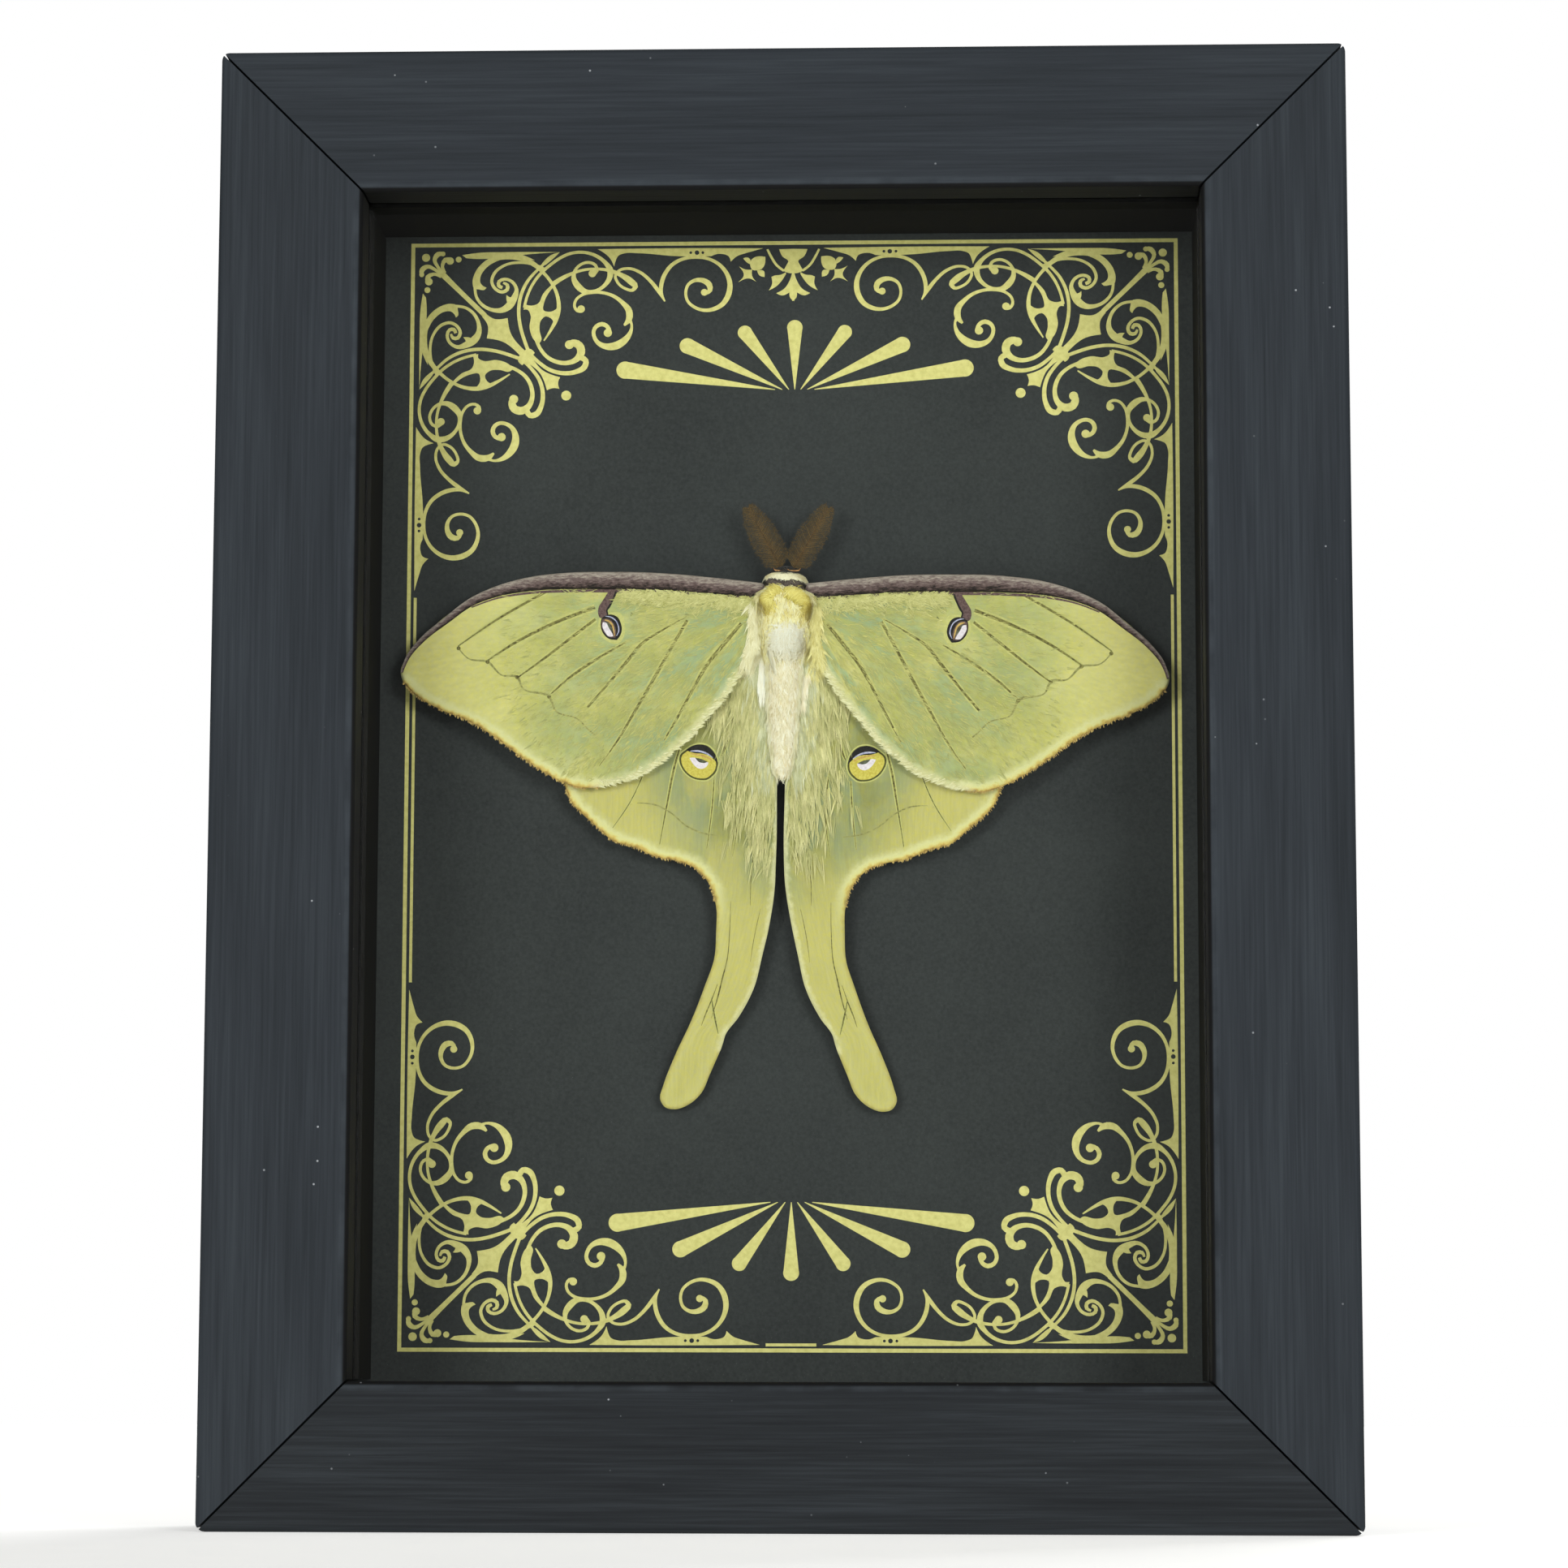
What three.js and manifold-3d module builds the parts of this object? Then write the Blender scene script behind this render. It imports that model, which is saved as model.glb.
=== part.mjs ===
// A luna moth with spread wings, mounted on a printed card in a deep mitred wooden frame.
// Units are millimetres. The object stands upright: +Z is up, the glass looks along -Y.
// The origin is the middle of the bottom of its bounding box.
import * as THREE from 'three';
import { mergeVertices } from 'three/addons/utils/BufferGeometryUtils.js';
import Module from 'manifold-3d';

const wasm = await Module();
wasm.setup();

// Driving dimensions of the frame
const frameWidth = 157;
const frameHeight = 205;
const railFace = 20.2;
const railDepth = 34;
const lipWidth = 5.2;
const lipDepth = 6.8;
const arrisRadius = 1;
const backChamfer = 0.6;
const cornerRadius = 1.2;
const gap = 0.3;

// Driving dimensions of what the frame holds, from the front to the back
const glassThickness = 2;
const cardFrontDepth = 26.7;
const cardThickness = 1;
const boardThickness = 3;

// Small metal tabs that hold the board, and the toothed hanging plate
const tabWidth = 8;
const tabThickness = 0.6;
const tabReach = 9;
const tabInsert = 4;
const hangerWidth = 44;
const hangerHeight = 7;
const hangerThickness = 0.9;
const hangerToothCount = 11;
const hangerToothDepth = 1.2;
const hangerToothedWidth = 26;
const nailHeadRadius = 1.7;
const nailHeadHeight = 0.7;
const nailShankRadius = 0.7;
const nailLength = 6;
const nailSpacing = 36;

// Driving dimensions of the moth
const mothX = -0.2;
const mothZ = 127;
const mothLean = THREE.MathUtils.degToRad(0.68);
const forewingHeight = 4.5;
const hindwingHeight = 3.1;
const forewingThickness = 0.5;
const hindwingThickness = 0.4;
const bodyHeight = 4.1;
const thoraxHalfDepth = 3.8;
const antennaHeight = 4.4;

// Places worked out from the driving dimensions
const openingWidth = frameWidth - 2 * railFace;
const openingHeight = frameHeight - 2 * railFace;
const rabbetWidth = openingWidth + 2 * lipWidth;
const rabbetHeight = openingHeight + 2 * lipWidth;
const wallThickness = railFace - lipWidth;
const totalDepth = railDepth + gap + hangerThickness + nailHeadHeight;
const frontY = -totalDepth / 2;
const glassFrontDepth = lipDepth + gap;
const spacerFrontDepth = glassFrontDepth + glassThickness + gap;
const spacerDepth = cardFrontDepth - gap - spacerFrontDepth;
const boardFrontDepth = cardFrontDepth + cardThickness + gap;
const tabFrontDepth = boardFrontDepth + boardThickness + gap;
const hangerFrontDepth = railDepth + gap;
const cardFrontY = frontY + cardFrontDepth;

// Finishes
function finish(colour, roughness, metalness = 0) {
  return new THREE.MeshStandardMaterial({ color: colour, roughness, metalness });
}

function clearGlass() {
  const glass = finish('#e9f2ef', 0.05);
  glass.transparent = true;
  glass.opacity = 0.15;
  return glass;
}

// A closed geometry as a solid that can be cut and joined
function toSolid(geometry) {
  const bare = geometry.clone();
  bare.deleteAttribute('normal');
  bare.deleteAttribute('uv');
  const welded = mergeVertices(bare, 1e-4);
  const index = welded.index.array;
  const triangles = [];
  for (let i = 0; i < index.length; i += 3) {
    const [a, b, c] = [index[i], index[i + 1], index[i + 2]];
    if (a !== b && b !== c && c !== a) triangles.push(a, b, c);
  }
  return new wasm.Manifold(new wasm.Mesh({
    numProp: 3,
    vertProperties: new Float32Array(welded.attributes.position.array),
    triVerts: new Uint32Array(triangles),
  }));
}

function toGeometry(solid) {
  const { vertProperties, triVerts } = solid.getMesh();
  const geometry = new THREE.BufferGeometry();
  geometry.setAttribute('position', new THREE.BufferAttribute(vertProperties, 3));
  geometry.setIndex(new THREE.BufferAttribute(triVerts, 1));
  geometry.computeVertexNormals();
  return geometry;
}

// A shape drawn in X and Z, given a depth along +Y from y = 0
function slabFromShape(shape, depth, curveSegments = 6) {
  const settings = { depth, bevelEnabled: false, curveSegments };
  const geometry = new THREE.ExtrudeGeometry(shape, settings);
  geometry.rotateX(Math.PI / 2);
  geometry.translate(0, depth, 0);
  return geometry;
}

function box(width, depth, height, x, y, z) {
  const geometry = new THREE.BoxGeometry(width, depth, height);
  geometry.translate(x, y, z);
  return geometry;
}

// The other side's copy of a piece, mirrored in the plane x = 0
function mirrored(geometry) {
  const copy = geometry.clone();
  copy.scale(-1, 1, 1);
  const index = copy.index.array;
  for (let i = 0; i < index.length; i += 3) {
    [index[i], index[i + 1]] = [index[i + 1], index[i]];
  }
  copy.computeVertexNormals();
  return copy;
}

function named(name, geometry, material) {
  const mesh = new THREE.Mesh(geometry, material);
  mesh.name = name;
  return mesh;
}

// The rail's section: x runs from the outer edge to the opening, y from the front to the back.
// Behind the lip it steps back to leave the rabbet that the glass, card and board lie in.
function railSection() {
  const shape = new THREE.Shape();
  const r = arrisRadius;
  shape.moveTo(r, 0);
  shape.lineTo(railFace - r, 0);
  shape.absarc(railFace - r, r, r, -Math.PI / 2, 0, false);
  shape.lineTo(railFace, lipDepth);
  shape.lineTo(wallThickness, lipDepth);
  shape.lineTo(wallThickness, railDepth - backChamfer);
  shape.lineTo(wallThickness - backChamfer, railDepth);
  shape.lineTo(backChamfer, railDepth);
  shape.lineTo(0, railDepth - backChamfer);
  shape.lineTo(0, r);
  shape.absarc(r, r, r, Math.PI, 1.5 * Math.PI, false);
  return shape;
}

// The rail's outline from the front: a trapezoid with mitred ends and slightly rounded corners
function mitreOutline(length) {
  const halfGap = gap / 2 * Math.SQRT2;
  const end = length / 2 - halfGap;
  const r = cornerRadius;
  const past = railFace + 2;
  const shape = new THREE.Shape();
  shape.moveTo(-end + r, 0);
  shape.lineTo(end - r, 0);
  shape.absarc(end - r, -r, r, Math.PI / 2, Math.PI / 4, true);
  shape.lineTo(end - past, -past);
  shape.lineTo(-end + past, -past);
  shape.absarc(-end + r, -r, r, 0.75 * Math.PI, Math.PI / 2, true);
  return shape;
}

// One rail along X, its outer face at z = 0 and its front at y = 0
function railSolid(length, cutters) {
  const bar = new THREE.ExtrudeGeometry(railSection(), {
    depth: length,
    bevelEnabled: false,
    curveSegments: 5,
  });
  bar.translate(0, 0, -length / 2);
  bar.rotateY(Math.PI / 2);
  const front = slabFromShape(mitreOutline(length), railDepth + 2, 4);
  front.translate(0, -1, 0);
  let rail = toSolid(bar).intersect(toSolid(front));
  for (const cutter of cutters) {
    rail = rail.subtract(toSolid(cutter));
  }
  return rail;
}

// A flat tab with a rounded end, pushed into the rail's inner wall behind the board
function tabGeometry(along) {
  const half = tabWidth / 2;
  const inside = -wallThickness + tabInsert;
  const reach = -wallThickness - tabReach;
  const shape = new THREE.Shape();
  shape.moveTo(-half, inside);
  shape.lineTo(-half, reach + half);
  shape.absarc(0, reach + half, half, Math.PI, 2 * Math.PI, false);
  shape.lineTo(half, inside);
  const geometry = slabFromShape(shape, tabThickness, 8);
  geometry.translate(along, tabFrontDepth, 0);
  return geometry;
}

function tabSlot(along) {
  const insideLength = tabInsert + gap;
  const overrun = 1;
  const height = insideLength + overrun;
  return box(
    tabWidth + 2 * gap, tabThickness + 2 * gap, height,
    along, tabFrontDepth + tabThickness / 2, -wallThickness + insideLength - height / 2,
  );
}

// The hanging plate on the back of the top rail, toothed along its lower edge
function hangerSolid() {
  const halfWidth = hangerWidth / 2;
  const middle = -wallThickness / 2;
  const top = middle + hangerHeight / 2;
  const bottom = middle - hangerHeight / 2;
  const pitch = hangerToothedWidth / hangerToothCount;
  const end = 2;
  const shape = new THREE.Shape();
  shape.moveTo(-halfWidth + end, top);
  shape.lineTo(-halfWidth, middle);
  shape.lineTo(-halfWidth + end, bottom);
  for (let i = 0; i < hangerToothCount; i += 1) {
    const start = -hangerToothedWidth / 2 + i * pitch;
    shape.lineTo(start, bottom);
    shape.lineTo(start + pitch / 2, bottom + hangerToothDepth);
  }
  shape.lineTo(hangerToothedWidth / 2, bottom);
  shape.lineTo(halfWidth - end, bottom);
  shape.lineTo(halfWidth, middle);
  shape.lineTo(halfWidth - end, top);
  const plate = slabFromShape(shape, hangerThickness);
  plate.translate(0, hangerFrontDepth, 0);
  let hanger = toSolid(plate);
  for (const side of [-1, 1]) {
    hanger = hanger.add(toSolid(nailGeometry(side * nailSpacing / 2)));
  }
  return hanger;
}

// A domed nail along Y, its shank in the rail and its head behind the plate
function nailGeometry(along) {
  const headStart = hangerFrontDepth + hangerThickness - 0.1;
  const headEnd = hangerFrontDepth + hangerThickness + nailHeadHeight;
  const tip = railDepth - nailLength;
  const profile = [
    new THREE.Vector2(0, tip),
    new THREE.Vector2(nailShankRadius, tip + 1.5),
    new THREE.Vector2(nailShankRadius, headStart),
    new THREE.Vector2(nailHeadRadius, headStart),
    new THREE.Vector2(nailHeadRadius * 0.8, (headStart + 2 * headEnd) / 3),
    new THREE.Vector2(0, headEnd),
  ];
  const nail = new THREE.LatheGeometry(profile, 16);
  nail.translate(along, 0, -wallThickness / 2);
  return nail;
}

function nailHole(along) {
  const radius = nailShankRadius + gap;
  const length = nailLength + gap + 1;
  const hole = new THREE.CylinderGeometry(radius, radius, length, 16);
  hole.translate(along, railDepth + 1 - length / 2, -wallThickness / 2);
  return hole;
}

// The four rails, each in a group that turns it to its side, with the fastenings that it carries
const blackWood = () => finish('#343a42', 0.5);
const zincSteel = () => finish('#a9a79f', 0.4, 1);

function frameSide(side, length, x, z, turn, tabs, hangs = false) {
  const group = new THREE.Group();
  group.position.set(x, frontY, z);
  group.rotation.y = turn;
  const cutters = tabs.map(([, along]) => tabSlot(along));
  if (hangs) {
    for (const end of [-1, 1]) cutters.push(nailHole(end * nailSpacing / 2));
  }
  group.add(named(`rail_${side}`, toGeometry(railSolid(length, cutters)), blackWood()));
  for (const [name, along] of tabs) {
    group.add(named(name, tabGeometry(along), zincSteel()));
  }
  if (hangs) {
    group.add(named('hanging_plate', toGeometry(hangerSolid()), zincSteel()));
  }
  return group;
}

function woodenFrame() {
  const group = new THREE.Group();
  const quarter = Math.PI / 2;
  const spread = frameHeight * 0.22;
  const half = frameWidth / 2;
  const middle = frameHeight / 2;
  group.add(frameSide('top', frameWidth, 0, frameHeight, 0, [['tab_top', 0]], true));
  group.add(frameSide('bottom', frameWidth, 0, 0, Math.PI, [['tab_bottom', 0]]));
  group.add(frameSide('right', frameHeight, half, middle, quarter,
    [['tab_right_upper', -spread], ['tab_right_lower', spread]]));
  group.add(frameSide('left', frameHeight, -half, middle, -quarter,
    [['tab_left_lower', -spread], ['tab_left_upper', spread]]));
  return group;
}

// The flat pieces that lie in the rabbet, each a sheet across the whole frame
function sheet(name, frontDepth, thickness, material) {
  const width = rabbetWidth - 2 * gap;
  const height = rabbetHeight - 2 * gap;
  const y = frontY + frontDepth + thickness / 2;
  return named(name, box(width, thickness, height, 0, y, frameHeight / 2), material);
}

// The strips between glass and card, flush with the lip: the long ones stand between the others
function spacers() {
  const group = new THREE.Group();
  const thickness = lipWidth - gap;
  const y = frontY + spacerFrontDepth + spacerDepth / 2;
  const middle = frameHeight / 2;
  const up = (openingHeight + thickness) / 2;
  const out = (openingWidth + thickness) / 2;
  const across = rabbetWidth - 2 * gap;
  const along = openingHeight - 2 * gap;
  const paint = () => finish('#17191b', 0.8);
  group.add(named('spacer_top', box(across, spacerDepth, thickness, 0, y, middle + up), paint()));
  group.add(named('spacer_bottom', box(across, spacerDepth, thickness, 0, y, middle - up), paint()));
  group.add(named('spacer_left', box(thickness, spacerDepth, along, -out, y, middle), paint()));
  group.add(named('spacer_right', box(thickness, spacerDepth, along, out, y, middle), paint()));
  return group;
}

// The moth's outlines are drawn on one side only, from its middle: outwards, then up.
// Each wing has as many points along its front edge as along its rear edge, from body to tip.
const forewingFront = [
  [1.5, 5.2], [4.4, 5.8], [8.6, 6.3], [13.4, 6.9], [18.1, 7.1], [24, 7.2], [30, 7.1],
  [36, 6.5], [40.5, 5.5], [44.5, 3.7], [48, 1.3], [51.4, -1.8], [53.9, -4.8], [54.8, -6.8],
];
const forewingRear = [
  [1.5, 1.5], [4.2, -2.6], [6.6, -8], [10.8, -13.5], [15.3, -18.3], [19.2, -21.3], [23.4, -23.1],
  [28.3, -23.8], [34, -21.4], [39.2, -17.9], [44.2, -14.5], [49, -12.5], [52.7, -10.4], [54.5, -7.9],
];
const hindwingFront = [
  [1.5, 1], [11, -4], [21, -11], [28.5, -18.5], [31, -22.8], [29.9, -25.6], [26, -29.3],
  [20.7, -32], [14.5, -33.9], [10.4, -36.6], [9.1, -41], [9.3, -47.5], [11.8, -54.8],
  [14.6, -61.2], [16.6, -66.3], [16, -68.9],
];
const hindwingRear = [
  [0.8, -3], [0.7, -8], [0.5, -13], [0.4, -18], [0.3, -22.5], [0.25, -26], [0.25, -30],
  [0.4, -34], [0.7, -38], [1.2, -41.5], [2, -45], [3.4, -51], [5.8, -55.9],
  [8.2, -60.4], [10.9, -66.8], [13.2, -68.8],
];

function curveThrough(points) {
  return new THREE.SplineCurve(points.map(([x, y]) => new THREE.Vector2(x, y)));
}

// A thin wing between its front and rear edges. The surface gives, for a place along the wing
// and across it, the height above the card and the thickness there.
function wingGeometry(front, rear, steps, rows, surface) {
  const frontCurve = curveThrough(front);
  const rearCurve = curveThrough(rear);
  const geometry = new THREE.BoxGeometry(1, 1, 1, steps, 1, rows);
  const position = geometry.attributes.position;
  for (let i = 0; i < position.count; i += 1) {
    const along = position.getX(i) + 0.5;
    const across = (position.getZ(i) + 0.5) ** 1.5;
    const face = position.getY(i);
    const a = frontCurve.getPoint(along);
    const b = rearCurve.getPoint(along);
    const place = a.lerp(b, across);
    const { height, thickness } = surface(along, across);
    position.setXYZ(i, place.x, -height - face * thickness, place.y);
  }
  geometry.computeVertexNormals();
  return geometry;
}

// The forewing falls a little towards its tip, and its front edge is a thick rounded rib
function forewingSurface(along, across) {
  const rib = Math.exp(-((across / 0.05) ** 2));
  const droop = 0.9 * along ** 2;
  const camber = 0.35 * Math.sin(Math.PI * across);
  return {
    height: forewingHeight - droop + camber + 0.15 * rib,
    thickness: forewingThickness * (1 + 0.8 * rib),
  };
}

// The hindwing falls towards the end of its tail, with a shallow fold along the tail
function hindwingSurface(along, across) {
  const droop = 1.5 * along ** 2;
  const fold = 0.25 * Math.sin(Math.PI * across) * THREE.MathUtils.smoothstep(along, 0.5, 0.8);
  return { height: hindwingHeight - droop + fold, thickness: hindwingThickness };
}

// The body's half width at each place along it, from the tip of the abdomen to the head
const bodyProfile = [
  [0, -21.9], [0.9, -21.5], [1.5, -20], [2.1, -16.5], [2.7, -12], [2.9, -8], [2.9, -5.2],
  [3.7, -3.6], [4.4, -1], [4.6, 1.5], [4.3, 4], [3.7, 5.6], [3.3, 6.4], [2.9, 7.4],
  [1.7, 8.4], [0, 8.8],
];
const bodyAround = 22;

// A furred form: its radius has rows of shallow tufts, and it is deeper at the thorax.
// The margin grows it evenly, for the room that its neighbours leave.
function bodyGeometry(margin) {
  const profile = bodyProfile.map(([r, z], i) => {
    const end = i === 0 ? -margin : 0;
    const head = i === bodyProfile.length - 1 ? margin : 0;
    return new THREE.Vector2(r === 0 ? 0 : r + margin, z + end + head);
  });
  const geometry = new THREE.LatheGeometry(profile, bodyAround);
  geometry.rotateX(Math.PI / 2);
  const position = geometry.attributes.position;
  const thoraxWidth = 4.6;
  const depthScale = thoraxHalfDepth / thoraxWidth;
  for (let i = 0; i < position.count; i += 1) {
    const x = position.getX(i);
    const y = position.getY(i);
    const z = position.getZ(i);
    const turn = Math.atan2(y, x);
    const tuft = 1 + 0.05 * Math.sin(5 * turn + 1.3 * z);
    position.setXYZ(i, x * tuft, y * tuft * depthScale - bodyHeight, z);
  }
  geometry.computeVertexNormals();
  return geometry;
}

// A feathered antenna: a shaft with a comb of barbs on both sides, drawn upright from its root
const antennaLength = 10.6;
const antennaHalfWidth = 1.9;
const antennaThickness = 0.5;
const antennaTurn = THREE.MathUtils.degToRad(28.7);
const antennaRoot = [0.75, 7.9];
const barbCount = 13;

function antennaGeometry() {
  const shaft = 0.22;
  const bare = 0.1;
  const barbRise = 1.3;
  const pitch = antennaLength * (1 - bare) / barbCount;
  const halfWidthAt = (t) => antennaHalfWidth * Math.sin(Math.PI * Math.min(1, t * 0.8 + 0.16));
  const right = [];
  for (let i = 0; i < barbCount; i += 1) {
    const base = antennaLength * bare + i * pitch;
    const width = halfWidthAt(i / barbCount);
    const top = Math.min(base + barbRise, antennaLength - 0.1);
    right.push([shaft, base], [width, top], [width * 0.96, top + 0.35], [shaft, base + 0.55 * pitch]);
  }
  const left = right.map(([x, y]) => [-x, y]).reverse();
  const outline = [[-shaft, 0], [shaft, 0], ...right, [0, antennaLength + 0.3], ...left];
  const shape = new THREE.Shape(outline.map(([x, y]) => new THREE.Vector2(x, y)));
  const geometry = slabFromShape(shape, antennaThickness);
  geometry.rotateY(antennaTurn);
  geometry.translate(antennaRoot[0], -antennaHeight, antennaRoot[1]);
  return geometry;
}

// The moth in a group of its own: y = 0 there is the front of the card
function moth() {
  const group = new THREE.Group();
  group.position.set(mothX, cardFrontY, mothZ);
  group.rotation.y = mothLean;
  const room = toSolid(bodyGeometry(gap));
  const clearOfBody = (geometry) => toGeometry(toSolid(geometry).subtract(room));
  const pieces = {
    forewing: clearOfBody(wingGeometry(forewingFront, forewingRear, 36, 8, forewingSurface)),
    hindwing: clearOfBody(wingGeometry(hindwingFront, hindwingRear, 42, 5, hindwingSurface)),
    antenna: clearOfBody(antennaGeometry()),
  };
  const colours = { forewing: '#b9bf62', hindwing: '#bcc36c', antenna: '#6b5631' };
  for (const [name, geometry] of Object.entries(pieces)) {
    group.add(named(`${name}_left`, mirrored(geometry), finish(colours[name], 0.75)));
    group.add(named(`${name}_right`, geometry, finish(colours[name], 0.75)));
  }
  group.add(named('moth_body', toGeometry(toSolid(bodyGeometry(0))), finish('#ddd8b4', 0.95)));
  return group;
}

const specimen = new THREE.Group();
specimen.add(woodenFrame());
specimen.add(sheet('glass_pane', glassFrontDepth, glassThickness, clearGlass()));
specimen.add(spacers());
specimen.add(sheet('printed_card', cardFrontDepth, cardThickness, finish('#24282a', 0.85)));
specimen.add(sheet('backing_board', boardFrontDepth, boardThickness, finish('#8a6a45', 0.85)));
specimen.add(moth());

export default specimen;
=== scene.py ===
# %% [markdown]
# # A framed moth specimen
#
# A long-tailed green moth is spread on a black card and shut in a deep black wooden
# frame behind glass. The frame, the glass, the card and the fittings come from the
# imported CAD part. This lesson dresses them: it stains the wood, prints the card,
# rebuilds the wings with their veins and eyespots, and grows the fur and the feathery
# antennae. Everything is in metres, in the same place as the CAD.

import math

import bpy
import numpy as np
from mathutils import Matrix, Vector, noise
from mathutils.bvhtree import BVHTree
from mathutils.geometry import delaunay_2d_cdt


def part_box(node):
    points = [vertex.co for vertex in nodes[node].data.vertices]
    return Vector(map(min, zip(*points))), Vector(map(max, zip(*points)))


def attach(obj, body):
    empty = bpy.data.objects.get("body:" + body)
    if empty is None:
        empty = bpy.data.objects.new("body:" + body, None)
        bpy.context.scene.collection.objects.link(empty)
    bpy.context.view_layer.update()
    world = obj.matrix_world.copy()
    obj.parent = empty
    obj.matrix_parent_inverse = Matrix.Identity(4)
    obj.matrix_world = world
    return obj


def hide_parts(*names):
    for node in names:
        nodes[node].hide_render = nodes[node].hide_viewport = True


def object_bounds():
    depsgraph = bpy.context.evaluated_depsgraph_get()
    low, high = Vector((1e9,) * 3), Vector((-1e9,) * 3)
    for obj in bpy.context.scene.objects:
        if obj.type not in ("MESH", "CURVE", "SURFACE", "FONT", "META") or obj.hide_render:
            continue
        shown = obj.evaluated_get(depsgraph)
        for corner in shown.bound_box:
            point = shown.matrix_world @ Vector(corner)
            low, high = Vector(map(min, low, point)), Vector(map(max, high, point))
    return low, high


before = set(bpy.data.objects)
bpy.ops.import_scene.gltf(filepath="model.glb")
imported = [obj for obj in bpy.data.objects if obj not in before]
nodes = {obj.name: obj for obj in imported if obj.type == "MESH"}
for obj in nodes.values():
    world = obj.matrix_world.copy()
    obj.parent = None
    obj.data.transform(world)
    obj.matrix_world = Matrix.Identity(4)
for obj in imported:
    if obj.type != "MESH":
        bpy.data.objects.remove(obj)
cad_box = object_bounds()
MM = 0.001
print("CAD nodes:", len(nodes), "box:", [[round(v, 4) for v in corner] for corner in cad_box])

# %% [markdown]
# ## Camera, floor and light
#
# The photograph was taken from a little below the middle of the frame, a shade to the
# right, with a long lens. The three directions below are the camera's own axes, so it
# can be set in place without guessing at angles. A white paper floor and a white
# surround stand for the studio. The surround is white only to the eye of the camera:
# what the glass mirrors is a dim room, or the black card would look grey.

# %% Camera
SENSOR = 36.0
PICTURE = 1932.0
FOCAL_PIXELS = 5683.2
camera_place = Vector((25.1, -642.5, 20.3)) * MM
camera_right = Vector((0.99925, 0.03877, 0.00232))
camera_up = Vector((0.00268, -0.12840, 0.99172))
camera_back = camera_right.cross(camera_up)

lens = bpy.data.cameras.new("camera")
lens.sensor_width = SENSOR
lens.lens = FOCAL_PIXELS / PICTURE * SENSOR
lens.clip_start = 0.01
camera = bpy.data.objects.new("camera", lens)
turn = Matrix((camera_right, camera_up, camera_back)).transposed().to_4x4()
camera.matrix_world = Matrix.Translation(camera_place) @ turn
bpy.context.scene.collection.objects.link(camera)
bpy.context.scene.camera = camera
print("lens", round(lens.lens, 1), "mm")


# %% Colours and nodes
def srgb(code):
    """A colour given in hex, such as #C3C873, as the linear values Blender works with."""
    parts = [int(code[i : i + 2], 16) / 255 for i in (1, 3, 5)]
    linear = [c / 12.92 if c <= 0.04045 else ((c + 0.055) / 1.055) ** 2.4 for c in parts]
    return (*linear, 1.0)


def add(tree, kind, inputs=None, ramp=(), **settings):
    """Adds one node. A socket in inputs is linked and anything else is set as a value.

    The stops of a colour ramp are given as (place, colour).
    """
    node = tree.nodes.new(kind)
    for number, (place, colour) in enumerate(ramp):
        stops = node.color_ramp.elements
        ends = {0: 0, len(ramp) - 1: -1}
        stop = stops[ends[number]] if number in ends else stops.new(place)
        stop.position = place
        stop.color = srgb(colour)
    for name, value in settings.items():
        setattr(node, name, value)
    for socket, value in (inputs or {}).items():
        if isinstance(value, bpy.types.NodeSocket):
            tree.links.new(value, node.inputs[socket])
        else:
            node.inputs[socket].default_value = value
    return node


def new_material(name):
    """A material with a Principled shader, ready for its own nodes."""
    material = bpy.data.materials.new(name)
    material.use_nodes = True
    tree = material.node_tree
    return material, tree, tree.nodes["Principled BSDF"]


def per_mm(size):
    """The noise scale that gives patches about this many millimetres across."""
    return 1 / (size * MM)


# %% Surround, floor and lamps
view = bpy.context.scene.view_settings
view.view_transform = "Standard"

world = bpy.data.worlds.new("studio")
bpy.context.scene.world = world
world.use_nodes = True
sky = world.node_tree
seen = add(sky, "ShaderNodeLightPath")
dim_room = sky.nodes["Background"]
dim_room.inputs["Color"].default_value = srgb("#ECECEA")
dim_room.inputs["Strength"].default_value = 0.07
white_wall = add(sky, "ShaderNodeBackground", {"Color": (1, 1, 1, 1), "Strength": 1.0})
both = add(sky, "ShaderNodeMixShader", {0: seen.outputs["Is Camera Ray"], 1: dim_room.outputs[0],
        2: white_wall.outputs[0]})
sky.links.new(both.outputs[0], sky.nodes["World Output"].inputs["Surface"])

FLOOR_SIDE = 3.0
floor_mesh = bpy.data.meshes.new("studio_floor")
reach = FLOOR_SIDE / 2
floor_mesh.from_pydata([(-reach, -reach, 0), (reach, -reach, 0), (reach, reach, 0), (-reach, reach, 0)], [],
                       [(0, 1, 2, 3)])
floor = bpy.data.objects.new("studio_floor", floor_mesh)
bpy.context.scene.collection.objects.link(floor)
paper, tree, shader = new_material("white paper sweep")
grain = add(tree, "ShaderNodeTexNoise", {"Scale": per_mm(3.0), "Detail": 3.0})
shade = add(tree, "ShaderNodeValToRGB", {
    "Fac": grain.outputs["Fac"]}, ramp=((0.0, "#F4F4F2"), (1.0, "#FAFAF8")))
tree.links.new(shade.outputs["Color"], shader.inputs["Base Color"])
tree.links.new(shade.outputs["Color"], shader.inputs["Emission Color"])
shader.inputs["Emission Strength"].default_value = 0.5
shader.inputs["Roughness"].default_value = 1.0
shader.inputs["Specular IOR Level"].default_value = 0.0
floor_mesh.materials.append(paper)

AIM = Vector((0, 0, 0.11))


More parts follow.
